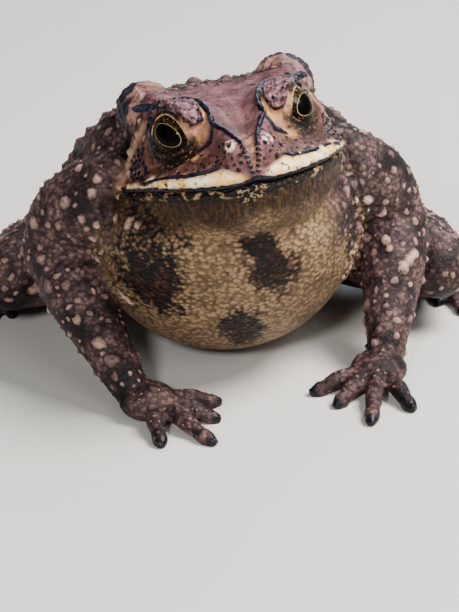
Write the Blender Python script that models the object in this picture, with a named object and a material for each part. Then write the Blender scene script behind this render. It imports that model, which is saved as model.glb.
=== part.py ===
"""Asian common toad, life size, sitting upright: a still museum model in named solid parts.

Metres, +Z up. The toad faces -Y and its left side is +X. Sizes below are in millimetres
unless a name says otherwise, and are turned to metres where meshes are made.
"""

import math
import random

import bmesh
import bpy
import numpy as np
from mathutils import Matrix, Vector
from mathutils.bvhtree import BVHTree

MM = 0.001
GAP = 0.3  # between nodes that touch
CELL = 1.15  # voxel of the fused head and trunk
SEED = 11

# Stance of the head: where the middle of the eyes sits, and how the head is held
HEAD_SEAT = (0.0, -10.0, 46.0)
HEAD_PITCH_DEG = -8.0  # nose up
HEAD_ROLL_DEG = -6.5  # left side up
TRUNK_YAW_DEG = -11.0  # rump swung to the toad's left
NECK_PIVOT = (0.0, 2.0, 0.0)

# Trunk, along Y: half width, widest level, back and belly, the last three above the floor
TRUNK_STATIONS = (
    (-19.0, 8.0, 32.0, 38.0, 27.0),
    (-16.0, 13.0, 31.0, 42.0, 20.5),
    (-11.0, 17.5, 30.0, 45.0, 13.5),
    (-4.0, 21.0, 30.0, 46.5, 7.5),
    (4.0, 23.5, 29.0, 47.0, 3.2),
    (12.0, 25.5, 26.0, 44.8, 0.8),
    (21.0, 27.5, 21.0, 40.0, -0.3),
    (30.0, 27.5, 16.0, 33.0, -0.5),
    (38.0, 24.0, 12.5, 26.0, -0.4),
    (45.0, 17.0, 10.0, 18.5, 0.6),
    (50.0, 8.5, 8.5, 12.5, 3.6),
)

# Head, by distance behind the eyes: lip half width, mouth level, crown level, crown half width,
# cheek fullness from 0 to 1, depth of the throat under the mouth
HEAD_STATIONS = (
    (-14.4, 2.4, -7.2, -3.4, 1.0, 0.5, 2.2),
    (-13.6, 5.4, -7.4, -1.2, 1.7, 0.5, 3.6),
    (-11.5, 8.8, -7.5, -0.2, 2.4, 0.4, 4.8),
    (-8.5, 11.6, -7.6, 0.7, 3.2, 0.3, 5.8),
    (-5.4, 13.6, -7.8, 1.6, 4.2, 0.3, 6.6),
    (-2.0, 15.1, -8.2, 3.0, 5.2, 0.5, 7.4),
    (1.5, 16.3, -8.7, 3.9, 7.0, 0.55, 8.0),
    (5.0, 17.3, -9.3, 4.4, 10.6, 0.6, 8.6),
    (9.0, 17.9, -10.0, 4.5, 11.6, 0.6, 9.0),
    (13.0, 18.4, -11.0, 4.0, 11.6, 0.6, 9.0),
    (18.0, 18.4, -12.0, 3.0, 11.0, 0.6, 8.0),
)
LIP_HEIGHT = 2.1
MOUTH_CORNER = 9.3  # behind the eyes

EYE_SEAT = (8.1, 0.3, -0.8)
EYE_RADIUS = 4.5
GAZE = (0.74, -0.62, 0.2)
LID_THICKNESS = 0.8
LID_OPENING = (3.9, 2.9)  # half length and half height

# Bony crests and lips of the head, on the left side, in the head's own frame
CRESTS = {
    "canthal": ((4.1, -5.4, 1.6), (3.0, -8.5, 0.8), (1.7, -11.8, -0.2), (1.2, -13.4, -1.2),
                (0.9, -14.2, -3.4)),
    "brow": ((4.1, -5.4, 1.6), (4.1, -4.0, 2.5), (4.0, -2.0, 3.8), (4.6, 0.2, 4.7), (6.2, 2.6, 5.2),
             (8.5, 4.4, 5.2), (10.8, 5.3, 5.0), (12.9, 5.6, 4.6)),
    "behind_eye": ((12.9, 5.6, 4.6), (13.9, 5.8, 1.5), (14.3, 5.4, -2.3)),
    "before_eye": ((4.1, -5.4, 1.6), (4.9, -6.2, 0.2), (6.2, -7.0, -1.2), (7.5, -7.2, -2.6)),
}
CREST_RADIUS = 0.62
LIP_RADIUS = 0.75
NOSTRIL = (2.95, -13.2, -1.0)
NOSTRIL_RADIUS = 0.6
EARDRUM = (16.4, 10.0, -2.6)
EARDRUM_RADIUS = 2.7

PAROTOID_SEAT = (13.0, 14.5, 0.6)  # in the head's own frame
PAROTOID_HALF = (5.4, 9.8, 4.6)

# Limbs as the left side would have them; the right side mirrors x
SHOULDER = {"left": (17.0, 1.0, 31.0), "right": (16.0, 1.0, 31.0)}
ELBOW = {"left": (28.5, 5.0, 20.5), "right": (27.0, 6.5, 21.0)}
WRIST = {"left": (24.0, -10.0, 4.4), "right": (18.5, -12.5, 4.4)}
UPPER_ARM_RADII = (8.2, 7.2, 5.8, 5.0)
FOREARM_RADII = (5.0, 5.3, 4.2, 3.1)
HAND_TURN_DEG = {"left": 34.0, "right": 46.0}  # inwards from straight ahead
PALM_HALF = (4.6, 4.6, 2.9)
FINGER_LENGTHS = (9.0, 9.0, 13.0, 9.5)
FINGER_SPREAD_DEG = 92.0
FINGER_RADII = (1.6, 1.3, 1.25, 1.0)

HIP = (13.0, 35.5, 12.5)
KNEE = (35.5, 13.5, 11.0)
ANKLE = (29.5, 47.0, 5.2)
TARSUS_END = (38.5, 31.0, 2.9)
THIGH_RADII = (8.6, 9.3, 8.2, 5.8)
SHANK_RADII = (5.2, 6.4, 5.6, 3.8)
TARSUS_RADII = (4.0, 3.5, 3.5)
TOE_LENGTHS = (9.0, 13.0, 20.0, 30.0, 19.0)
TOE_SPREAD_DEG = 74.0
FOOT_TURN_DEG = -24.0  # outwards from straight ahead
TOE_RADII = (1.7, 1.4, 1.2, 1.0)
WEB_SHARE = 0.5  # of a toe's length that the web reaches
WEB_THICKNESS = 1.0

CORE_TRIANGLES = 7000
BACK_WARTS = 40
FLANK_WARTS = 14
HEAD_WARTS = 10
LIMB_WARTS = 3  # on each upper arm, forearm, thigh and shank

COLOURS = {
    "skin": (0.16, 0.10, 0.08),
    "throat": (0.42, 0.33, 0.24),
    "gland": (0.13, 0.09, 0.09),
    "eye": (0.01, 0.008, 0.005),
}


def clear_scene():
    for old in list(bpy.data.objects):
        bpy.data.objects.remove(old)


def catmull(points, count):
    """Points evenly shared along a smooth curve through the given ones, ends included."""
    given = np.asarray(points, float)
    padded = np.vstack([2 * given[0] - given[1], given, 2 * given[-1] - given[-2]])
    place = np.linspace(0, len(given) - 1, count)
    step = np.minimum(place.astype(int), len(given) - 2)
    t = (place - step)[:, None]
    a, b, c, d = (padded[step + k] for k in range(4))
    return 0.5 * (
        2 * b + (c - a) * t + (2 * a - 5 * b + 4 * c - d) * t**2 + (3 * b - a - 3 * c + d) * t**3
    )


def new_object(name, mesh):
    made = bpy.data.objects.new(name, mesh)
    bpy.context.scene.collection.objects.link(made)
    return made


def loft(name, rings):
    """A closed body through rings of one size, in millimetres, with its two ends capped."""
    body = bmesh.new()
    loops = [[body.verts.new(Vector(p) * MM) for p in ring] for ring in rings]
    for before, after in zip(loops, loops[1:]):
        for i in range(len(before)):
            body.faces.new((before[i - 1], before[i], after[i], after[i - 1]))
    body.faces.new(loops[0][::-1])
    body.faces.new(loops[-1])
    bmesh.ops.recalc_face_normals(body, faces=body.faces)
    bmesh.ops.triangulate(body, faces=body.faces)
    mesh = bpy.data.meshes.new(name)
    body.to_mesh(mesh)
    body.free()
    return new_object(name, mesh)


def tube(name, path, radii, sides, rings, flat=1.0, round_ends=True, grow=0.0):
    """A body carried along a path, its radius read from a few stations, closed by rounded ends."""
    line = catmull(path, rings)
    sizes = catmull(np.asarray(radii, float)[:, None], rings)[:, 0] + grow
    ends = ((0, -1.0), (rings - 1, 1.0))
    tangents = np.gradient(line, axis=0)
    tangents /= np.linalg.norm(tangents, axis=1)[:, None]
    hoops = []
    stations = [(line[i], tangents[i], sizes[i]) for i in range(rings)]
    if round_ends:
        caps = []
        for end, way in ends:
            for turn in (42.0, 76.0):
                lift = sizes[end] * math.sin(math.radians(turn)) * way
                width = sizes[end] * math.cos(math.radians(turn))
                caps.append((line[end] + tangents[end] * lift, tangents[end], width))
        stations = caps[1::-1] + stations + caps[2:]
    for centre, along, size in stations:
        across = np.cross(along, (0.0, 0.0, 1.0))
        if np.linalg.norm(across) < 0.2:
            across = np.cross(along, (0.0, 1.0, 0.0))
        across /= np.linalg.norm(across)
        upward = np.cross(across, along)
        turns = [2 * math.pi * k / sides for k in range(sides)]
        hoops.append(
            [centre + across * size * math.cos(t) + upward * size * flat * math.sin(t) for t in turns]
        )
    return loft(name, hoops)


def ball(name, centre, half, turn=None, segments=16, rings=10):
    """An ellipsoid with its half axes in millimetres, turned and then set at its centre."""
    body = bmesh.new()
    bmesh.ops.create_uvsphere(body, u_segments=segments, v_segments=rings, radius=1.0)
    size = Matrix.Diagonal((*(h * MM for h in half), 1.0))
    seat = Matrix.Translation(Vector(centre) * MM) @ (turn or Matrix.Identity(4)) @ size
    bmesh.ops.transform(body, matrix=seat, verts=body.verts)
    bmesh.ops.triangulate(body, faces=body.faces)
    mesh = bpy.data.meshes.new(name)
    body.to_mesh(mesh)
    body.free()
    return new_object(name, mesh)


def head_matrix():
    """From the head's own frame, with the middle of the eyes as its origin, to the toad's."""
    pitch = Matrix.Rotation(math.radians(HEAD_PITCH_DEG), 4, "X")
    roll = Matrix.Rotation(math.radians(HEAD_ROLL_DEG), 4, "Y")
    return Matrix.Translation(Vector(HEAD_SEAT)) @ roll @ pitch


def trunk_matrix():
    """From the trunk's frame, straight along Y, to the toad's."""
    pivot = Matrix.Translation(Vector(NECK_PIVOT))
    return pivot @ Matrix.Rotation(math.radians(TRUNK_YAW_DEG), 4, "Z") @ pivot.inverted()


def carried(points, matrix):
    return [tuple(matrix @ Vector(p)) for p in points]


def trunk_rings(count=30, sides=36):
    """Each ring is an ellipse whose upper and lower halves have heights of their own."""
    rings = []
    for back, half, level, top, bottom in catmull(TRUNK_STATIONS, count):
        ring = []
        for k in range(sides):
            turn = 2 * math.pi * k / sides
            height = top - level if math.sin(turn) > 0 else level - bottom
            ring.append((half * math.cos(turn), back, level + height * math.sin(turn)))
        rings.append(ring)
    return rings


def head_rings(count=30, sides=40):
    """Each ring runs from the crown over cheek, lip and jaw to the throat, and is the same on both sides."""
    rings = []
    for back, lip, mouth, crown, brow, cheek, throat in catmull(HEAD_STATIONS, count):
        lip_top = mouth + LIP_HEIGHT
        cheek_x = brow + (lip - 1.0 - brow) * (0.35 + 0.35 * cheek)
        cheek_z = lip_top + (crown - lip_top) * (0.38 + 0.3 * cheek)
        half = [
            (0.0, crown - 0.3), (brow * 0.75, crown - 0.15), (brow, crown), (cheek_x, cheek_z),
            (lip - 0.7, lip_top), (lip, mouth + 0.4), (lip - 0.5, mouth - 0.6),
            (lip * 0.9, mouth - throat * 0.42), (lip * 0.55, mouth - throat * 0.86), (0.0, mouth - throat),
        ]
        whole = half + [(-x, z) for x, z in half[-2:0:-1]] + half[:1]
        loop = catmull(whole, sides + 1)[:-1]
        rings.append([(x, back, z) for x, z in loop])
    return rings


def settle(made):
    """Gives the object the mesh that its modifiers make of it, and takes them off."""
    bpy.context.view_layer.update()
    graph = bpy.context.evaluated_depsgraph_get()
    mesh = bpy.data.meshes.new_from_object(made.evaluated_get(graph))
    made.modifiers.clear()
    made.data = mesh
    return made


def keep_largest(made):
    """Drops every closed surface but the largest, such as a sealed hollow or a loose scrap."""
    body = bmesh.new()
    body.from_mesh(made.data)
    left = set(body.verts)
    islands = []
    while left:
        stack = [left.pop()]
        island = list(stack)
        while stack:
            for edge in stack.pop().link_edges:
                for vert in edge.verts:
                    if vert in left:
                        left.discard(vert)
                        stack.append(vert)
                        island.append(vert)
        islands.append(island)
    islands.sort(key=len)
    bmesh.ops.delete(body, geom=[v for island in islands[:-1] for v in island], context="VERTS")
    body.to_mesh(made.data)
    body.free()
    return made


def combine(made, others, operation, solver="MANIFOLD"):
    """One Boolean of the object with a collection of closed pieces, which are then removed."""
    group = bpy.data.collections.new("pieces")
    bpy.context.scene.collection.children.link(group)
    for piece in others:
        group.objects.link(piece)
    change = made.modifiers.new("combine", "BOOLEAN")
    change.operation = operation
    change.operand_type = "COLLECTION"
    change.collection = group
    change.solver = solver
    settle(made)
    for piece in others:
        bpy.data.objects.remove(piece)
    bpy.data.collections.remove(group)
    return keep_largest(made)


def fused(name, pieces, cell, triangles, smoothing=4):
    """One skin over overlapping pieces: remeshed, smoothed and thinned to a count of triangles."""
    whole = bmesh.new()
    for piece in pieces:
        whole.from_mesh(piece.data)
        bpy.data.objects.remove(piece)
    mesh = bpy.data.meshes.new(name)
    whole.to_mesh(mesh)
    whole.free()
    made = new_object(name, mesh)
    skin = made.modifiers.new("skin", "REMESH")
    skin.mode = "VOXEL"
    skin.voxel_size = cell * MM
    soft = made.modifiers.new("soft", "SMOOTH")
    soft.factor = 0.5
    soft.iterations = smoothing
    settle(made)
    return thinned(keep_largest(made), triangles)


def thinned(made, triangles):
    """Collapses edges until a count of triangles is left."""
    count = sum(len(p.vertices) - 2 for p in made.data.polygons)
    thin = made.modifiers.new("thin", "DECIMATE")
    thin.ratio = min(1.0, triangles / count)
    thin.use_collapse_triangulate = True
    return settle(made)


def surface_of(made):
    """A search tree over the object's surface."""
    body = bmesh.new()
    body.from_mesh(made.data)
    tree = BVHTree.FromBMesh(body)
    body.free()
    return tree


def on_surface(tree, point, lift=0.0):
    """The nearest place on the surface to a point in millimetres, raised along its normal."""
    place, normal, _, _ = tree.find_nearest(Vector(point) * MM)
    return np.array(place / MM + normal * lift), np.array(normal)


def crest(name, tree, points, radius, lift, spacing=2.2):
    """A thin ridge that follows the surface under a line of points."""
    rough = catmull(points, 24)
    length = np.linalg.norm(np.diff(rough, axis=0), axis=1).sum()
    count = max(4, round(length / spacing))
    line = [on_surface(tree, p, lift)[0] for p in catmull(points, count)]
    return tube(name, line, (radius * 0.8, radius, radius, radius * 0.75), 5, count, round_ends=False)


def wart(place, normal, radius, height, spin, sides=6):
    """A low cone with a rounded shoulder, its root sunk in the surface."""
    turn = Vector(normal).to_track_quat("Z", "Y").to_matrix() @ Matrix.Rotation(spin, 3, "Z")
    rings = []
    for share, rise in ((1.0, -0.7), (0.84, 0.5), (0.34, 1.0)):
        ring = []
        for k in range(sides):
            t = 2 * math.pi * k / sides
            local = (radius * share * math.cos(t), radius * share * math.sin(t), height * rise)
            ring.append(Vector(place) + turn @ Vector(local))
        rings.append(ring)
    return loft("wart", rings)


def warts(made, draw, count, place_at, radii, keep_off=(), keep=None, spread=1.12):
    """Warts of a few sizes at random places, each kept clear of the others and of other bodies."""
    tree = surface_of(made)
    seats = []
    for _ in range(count * 80):
        if len(seats) == count:
            break
        radius = draw.choice(radii)
        place, normal = on_surface(tree, place_at(draw))
        if keep and not keep(place, normal):
            continue
        if any(np.linalg.norm(place - other) < (radius + near) * spread for other, _, near in seats):
            continue
        if any(depth_in(other, place) > -(radius + 1.0) for other in keep_off):
            continue
        seats.append((place, normal, radius))
    made_warts = [
        wart(place, normal, radius, 0.34 * radius + 0.25, draw.uniform(0, 1), 7 if radius > 1.5 else 6)
        for place, normal, radius in seats
    ]
    return combine(made, made_warts, "UNION") if made_warts else made


def depth_in(tree, point):
    """How far a point in millimetres is inside a surface, below zero outside."""
    place, normal, _, far = tree.find_nearest(Vector(point) * MM)
    inside = (Vector(point) * MM - place).dot(normal) < 0
    return far / MM if inside else -far / MM


def material(name):
    made = bpy.data.materials.get(name) or bpy.data.materials.new(name)
    made.use_nodes = True
    shader = made.node_tree.nodes["Principled BSDF"]
    shader.inputs["Base Color"].default_value = (*COLOURS[name], 1.0)
    shader.inputs["Roughness"].default_value = 0.12 if name == "eye" else 0.55
    return made


def finish(made, name, slot):
    made.name = name
    made.data.name = name
    made.data.materials.clear()
    made.data.materials.append(material(slot))
    made.data.shade_smooth()
    return made


def sheet(points, half_width, matrix):
    """A thin sheet as thick as the gap: it follows a line in a middle plane and runs right across."""
    line = catmull([(0.0, y, z) for y, z in points], 24)
    tangents = np.gradient(line, axis=0)
    tangents /= np.linalg.norm(tangents, axis=1)[:, None]
    rings = []
    for centre, along in zip(line, tangents):
        normal = np.cross((1.0, 0.0, 0.0), along) * GAP / 2
        rings.append([
            tuple(centre + np.array((x, 0.0, 0.0)) + normal * side)
            for x, side in ((-half_width, -1), (half_width, -1), (half_width, 1), (-half_width, 1))
        ])
    return loft("sheet", [carried(ring, matrix) for ring in rings])


def islands_of(made):
    """Splits an object into its closed bodies, largest first, and removes it."""
    body = bmesh.new()
    body.from_mesh(made.data)
    left = set(body.faces)
    islands = []
    while left:
        stack = [left.pop()]
        island = set(stack)
        while stack:
            for edge in stack.pop().edges:
                for face in edge.link_faces:
                    if face in left:
                        left.discard(face)
                        stack.append(face)
                        island.add(face)
        islands.append(island)
    islands.sort(key=len, reverse=True)
    pieces = []
    for island in islands:
        part = bmesh.new()
        seen = {}
        for face in sorted(island, key=lambda f: f.index):
            for vert in face.verts:
                if vert not in seen:
                    seen[vert] = part.verts.new(vert.co)
            part.faces.new([seen[v] for v in face.verts])
        mesh = bpy.data.meshes.new("island")
        part.to_mesh(mesh)
        part.free()
        pieces.append(new_object("island", mesh))
    body.free()
    bpy.data.objects.remove(made)
    return pieces


def mirrored(point, side):
    return (point[0] * (1 if side == "left" else -1), point[1], point[2])


def sided(points, side):
    return [mirrored(p, side) for p in points]


def lip_line(lift, side_inset, reach):
    """The edge of the mouth, from one corner round the snout to the other."""
    stations = [s for s in HEAD_STATIONS if s[0] < reach]
    left = [(s[1] - side_inset, s[0], s[2] + lift) for s in stations]
    front = (0.0, HEAD_STATIONS[0][0] - 0.3 + side_inset, HEAD_STATIONS[0][2] + lift)
    return [(-x, y, z) for x, y, z in left[::-1]] + [front] + left


def limb_tubes(side):
    """Paths, radii, sides and rings of the limb segments of one side, by node name."""
    trunk = trunk_matrix()

    def trunk_side(point):
        return tuple(trunk @ Vector(mirrored(point, side)))

    shoulder, elbow, wrist = (mirrored(p[side], side) for p in (SHOULDER, ELBOW, WRIST))
    hip, knee, ankle, foot = (trunk_side(p) for p in (HIP, KNEE, ANKLE, TARSUS_END))
    bend = np.array(mirrored((2.2, 1.5, 0.5), side))
    middle = (np.array(shoulder) + np.array(elbow)) / 2 + bend
    return {
        "upper_arm": ([shoulder, tuple(middle), elbow], UPPER_ARM_RADII, 12, 6),
        "forearm": ([elbow, wrist], FOREARM_RADII, 10, 5),
        "thigh": ([hip, knee], THIGH_RADII, 14, 6),
        "shank": ([knee, ankle], SHANK_RADII, 10, 6),
        "tarsus": ([ankle, foot], TARSUS_RADII, 8, 4),
    }


def digits(root, heading_deg, lengths, spread_deg, radii, side, start):
    """Paths of fingers or toes that fan out over the floor from a root; a positive heading is inwards."""
    paths = []
    count = len(lengths)
    for k, length in enumerate(lengths):
        fan = spread_deg * (0.5 - k / (count - 1))
        turn = math.radians(heading_deg + fan)
        out = -1 if side == "left" else 1
        way = np.array((out * math.sin(turn), -math.cos(turn), 0.0))
        base = np.array(root)
        low = radii[-1] - 0.3
        paths.append([
            tuple(base + way * start * 0.3),
            tuple(base * (1, 1, 0) + way * (start + length * 0.35) + (0, 0, low + 1.5)),
            tuple(base * (1, 1, 0) + way * (start + length * 0.72) + (0, 0, low + 0.35)),
            tuple(base * (1, 1, 0) + way * (start + length - radii[-1]) + (0, 0, low)),
        ])
    return paths


def hand(side):
    wrist = np.array(mirrored(WRIST[side], side))
    turn = math.radians(HAND_TURN_DEG[side])
    way = np.array((-math.sin(turn) * (1 if side == "left" else -1), -math.cos(turn), 0.0))
    palm_at = wrist + way * 3.6 + (0, 0, -1.9)
    spin = Matrix.Rotation(-turn if side == "left" else turn, 4, "Z")
    palm = ball("palm", palm_at, PALM_HALF, spin, 12, 8)
    paths = digits(palm_at, HAND_TURN_DEG[side], FINGER_LENGTHS, FINGER_SPREAD_DEG, FINGER_RADII, side, 3.2)
    fingers = [tube("finger", path, FINGER_RADII, 6, 5) for path in paths]
    return combine(palm, fingers, "UNION", "EXACT")


def foot(side, tubes):
    path, radii, sides, rings = tubes["tarsus"]
    whole = tube("tarsus", path, radii, sides, rings)
    root = np.array(path[-1])
    heading = FOOT_TURN_DEG - (TRUNK_YAW_DEG if side == "left" else -TRUNK_YAW_DEG)
    paths = digits(root, heading, TOE_LENGTHS, TOE_SPREAD_DEG, TOE_RADII, side, 2.0)
    toes = [tube("toe", p, TOE_RADII, 6, 5 if k < 2 else 6) for k, p in enumerate(paths)]
    return combine(whole, toes + [web(root, paths)], "UNION", "EXACT")


def web(root, paths):
    """A thin skin between the toes, scalloped from toe to toe."""
    edge = []
    for k, path in enumerate(paths):
        tip = np.array(path[-1])
        reach = root + (tip - root) * WEB_SHARE
        edge.append(reach)
        if k + 1 < len(paths):
            following = root + (np.array(paths[k + 1][-1]) - root) * WEB_SHARE
            edge.append(root + ((reach + following) / 2 - root) * 0.86)
    outline = [root] + edge
    rings = []
    for z in (-0.3, WEB_THICKNESS):
        rings.append([(p[0], p[1], z) for p in outline])
    return loft("web", rings)


def floor_cut(made):
    """Flattens whatever reaches below the floor."""
    body = bmesh.new()
    bmesh.ops.create_cube(body, size=1.0)
    size = Matrix.Diagonal((0.3, 0.3, 0.02, 1.0))
    bmesh.ops.transform(body, matrix=Matrix.Translation((0, 0, -0.01)) @ size, verts=body.verts)
    mesh = bpy.data.meshes.new("floor")
    body.to_mesh(mesh)
    body.free()
    return combine(made, [new_object("floor", mesh)], "DIFFERENCE")


def core(head):
    """Head and trunk in one skin, with crests, lips, lids, eardrums and nostrils."""
    trunk = loft("trunk", [carried(ring, trunk_matrix()) for ring in trunk_rings()])
    skull = loft("skull", [carried(ring, head) for ring in head_rings()])
    whole = fused("core", [trunk, skull], CELL, 3600)
    tree = surface_of(whole)
    raised = []
    for side in ("left", "right"):
        for name, points in CRESTS.items():
            line = carried(sided(points, side), head)
            raised.append(crest(name, tree, line, CREST_RADIUS, 0.15))
        lid = ball("lid", head @ Vector(mirrored(EYE_SEAT, side)), [EYE_RADIUS + LID_THICKNESS] * 3)
        raised.append(lid)
    for name, lift, inset in (("upper_lip", 0.95, 0.45), ("lower_lip", -0.95, 0.75)):
        line = carried(lip_line(lift, inset, MOUTH_CORNER + 1.0), head)
        raised.append(tube(name, line, (LIP_RADIUS * 0.7, LIP_RADIUS, LIP_RADIUS * 0.7), 5, 27))
    combine(whole, raised, "UNION", "EXACT")
    tree = surface_of(whole)
    sunk = []
    for side in ("left", "right"):
        for spot, radius, depth in ((NOSTRIL, NOSTRIL_RADIUS, 0.7), (EARDRUM, EARDRUM_RADIUS, 0.6)):
            place, normal = on_surface(tree, head @ Vector(mirrored(spot, side)), 0.1)
            turn = Vector(normal).to_track_quat("Z", "Y").to_matrix().to_4x4()
            sunk.append(ball("dent", place, (radius, radius, depth), turn, 10, 6))
    return combine(whole, sunk, "DIFFERENCE", "EXACT")


def lid_opening(head, side):
    """The almond between the lids, as a body that reaches out from inside the eye."""
    gaze = Vector(mirrored(GAZE, side)).normalized()
    seat = Vector(mirrored(EYE_SEAT, side)) + gaze * EYE_RADIUS * 0.95
    turn = gaze.to_track_quat("Z", "Y").to_matrix().to_4x4()
    almond = ball("opening", (0, 0, 0), (LID_OPENING[0], LID_OPENING[1], 3.0), None, 14, 8)
    almond.data.transform(Matrix.Translation(Vector(seat) * MM) @ turn)
    placed = Matrix.Translation(Vector(HEAD_SEAT) * MM) @ head.to_3x3().to_4x4()
    almond.data.transform(placed)
    return almond


def main():
    clear_scene()
    draw = random.Random(SEED)
    head = head_matrix()
    whole = core(head)
    tubes = {side: limb_tubes(side) for side in ("left", "right")}
    glands = {}
    for side in ("left", "right"):
        splay = Matrix.Rotation(math.radians(-10 if side == "left" else 10), 4, "Z")
        turn = head.to_3x3().to_4x4() @ splay
        seat = head @ Vector(mirrored(PAROTOID_SEAT, side))
        glands[side] = (seat, turn)

    limbs = {}
    for side in ("left", "right"):
        for name in ("upper_arm", "forearm", "thigh", "shank"):
            path, radii, sides, rings = tubes[side][name]
            limbs[name, side] = tube(name, path, radii, sides, rings)
        limbs["hand", side] = hand(side)
        limbs["foot", side] = foot(side, tubes[side])
    trees = {key: surface_of(made) for key, made in limbs.items()}
    gland_bodies = {
        side: ball("parotoid", glands[side][0], PAROTOID_HALF, glands[side][1], 16, 10)
        for side in ("left", "right")
    }
    gland_trees = [surface_of(made) for made in gland_bodies.values()]
    core_tree = surface_of(whole)

    inverse = head.inverted()

    def back_place(d):
        return (d.uniform(-26, 32), d.uniform(6, 50), d.uniform(22, 60))

    def flank_place(d):
        return (d.choice((-1, 1)) * 40, d.uniform(4, 40), d.uniform(12, 32))

    def head_place(d):
        return tuple(head @ Vector((d.uniform(-18, 18), d.uniform(-12, 14), d.uniform(-6, 8))))

    def on_head(place, normal):
        x, y, z = inverse @ Vector(place)
        near_eye = (Vector((abs(x), y, z)) - Vector(EYE_SEAT)).length < EYE_RADIUS + 2.4
        ear = (Vector((abs(x), y, z)) - Vector(EARDRUM)).length < EARDRUM_RADIUS + 1.4
        mid_top = abs(x) < 5.0 and y < 3.0
        return z > -4.5 and not near_eye and not ear and not mid_top

    others = [trees[key] for key in trees] + gland_trees
    warts(whole, draw, BACK_WARTS, back_place, (1.3, 1.6, 2.1, 2.6), others, lambda p, n: n[2] > 0.25)
    warts(whole, draw, FLANK_WARTS, flank_place, (1.3, 1.6, 2.0), others, lambda p, n: abs(n[2]) < 0.75)
    warts(whole, draw, HEAD_WARTS, head_place, (0.9, 1.1), gland_trees, on_head)

    thinned(whole, CORE_TRIANGLES)
    cutters = []
    for side in ("left", "right"):
        for name in ("upper_arm", "forearm", "thigh", "shank"):
            path, radii, sides, rings = tubes[side][name]
            cutters.append(tube("cut", path, radii, sides, rings, grow=GAP))
        seat, turn = glands[side]
        cutters.append(ball("cut", seat, [h + GAP for h in PAROTOID_HALF], turn, 16, 10))
        eye = head @ Vector(mirrored(EYE_SEAT, side))
        cutters.append(ball("cut", eye, [EYE_RADIUS + GAP] * 3, None, 16, 10))
        cutters.append(lid_opening(head, side))
    neck = [(7.0, 66.0), (6.0, 54.0), (5.0, 44.0), (3.0, 36.5), (-3.0, 31.5), (-12.0, 29.0), (-34.0, 27.0)]
    cutters.append(sheet(neck, 40.0, Matrix.Identity(4)))
    mouth = [(s[0], s[2]) for s in HEAD_STATIONS[1:] if s[0] < MOUTH_CORNER + 1.0]
    mouth = [(-20.0, mouth[0][1] + 0.1)] + mouth + [(13.0, -11.3), (24.0, -13.6)]
    cutters.append(sheet(mouth, 40.0, head))
    for cutter in cutters:
        change = whole.modifiers.new("cut", "BOOLEAN")
        change.operation = "DIFFERENCE"
        change.object = cutter
        change.solver = "MANIFOLD"
        settle(whole)
        bpy.data.objects.remove(cutter)
    pieces = islands_of(whole)
    print("core in", [len(p.data.vertices) for p in pieces])
    for scrap in pieces[3:]:
        bpy.data.objects.remove(scrap)
    pieces = sorted(pieces[:3], key=lambda o: min(v.co.z for v in o.data.vertices))
    torso, jaw, skull = pieces
    finish(floor_cut(torso), "torso", "skin")
    finish(jaw, "lower_jaw", "throat")
    finish(skull, "head", "skin")

    seats = {"upper_arm": ("forearm",), "forearm": (), "thigh": ("shank",), "shank": ("tarsus",)}
    for side in ("left", "right"):
        for name, against in seats.items():
            made = limbs[name, side]
            near = [core_tree] + [t for key, t in trees.items() if key != (name, side)]
            path = np.array(tubes[side][name][0])
            reach = tubes[side][name][1][1] + 3

            def limb_place(d, path=path, reach=reach):
                spot = catmull(path, 21)[d.randrange(3, 18)]
                return tuple(spot + np.array([d.uniform(-reach, reach) for _ in range(3)]))

            radii = (1.1, 1.4, 1.8) if name in ("thigh", "upper_arm") else (0.9, 1.2)
            warts(made, draw, LIMB_WARTS, limb_place, radii, near, lambda p, n: n[2] > -0.3)
            for other in against:
                path, radii, sides, rings = tubes[side][other]
                combine(made, [tube("cut", path, radii, sides, rings, grow=GAP)], "DIFFERENCE")
            if name == "forearm":
                cut = swollen_hand(side)
                combine(made, [cut], "DIFFERENCE")
            finish(floor_cut(made), name + "_" + side, "skin")
        for name in ("hand", "foot"):
            finish(floor_cut(limbs[name, side]), name + "_" + side, "skin")
        finish(gland_bodies[side], "parotoid_" + side, "gland")
        eye = ball("eye", head @ Vector(mirrored(EYE_SEAT, side)), [EYE_RADIUS] * 3, None, 16, 10)
        finish(eye, "eye_" + side, "eye")
    centre_on_origin()


def centre_on_origin():
    """Moves the whole toad so that the middle of its footprint is the origin."""
    points = np.array([tuple(v.co) for made in bpy.data.objects for v in made.data.vertices])
    middle = (points.min(axis=0) + points.max(axis=0)) / 2
    for made in bpy.data.objects:
        made.data.transform(Matrix.Translation((-middle[0], -middle[1], 0.0)))


def swollen_hand(side):
    """The palm grown by the gap, to seat it in the forearm."""
    wrist = np.array(mirrored(WRIST[side], side))
    turn = math.radians(HAND_TURN_DEG[side])
    way = np.array((-math.sin(turn) * (1 if side == "left" else -1), -math.cos(turn), 0.0))
    spin = Matrix.Rotation(-turn if side == "left" else turn, 4, "Z")
    grown = [h + GAP for h in PALM_HALF]
    return ball("cut", wrist + way * 3.6 + (0, 0, -1.9), grown, spin, 12, 8)


main()
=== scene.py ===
import math

import bmesh
import bpy
import numpy as np
from mathutils import Matrix, Vector
from mathutils.bvhtree import BVHTree
from mathutils.kdtree import KDTree


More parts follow.
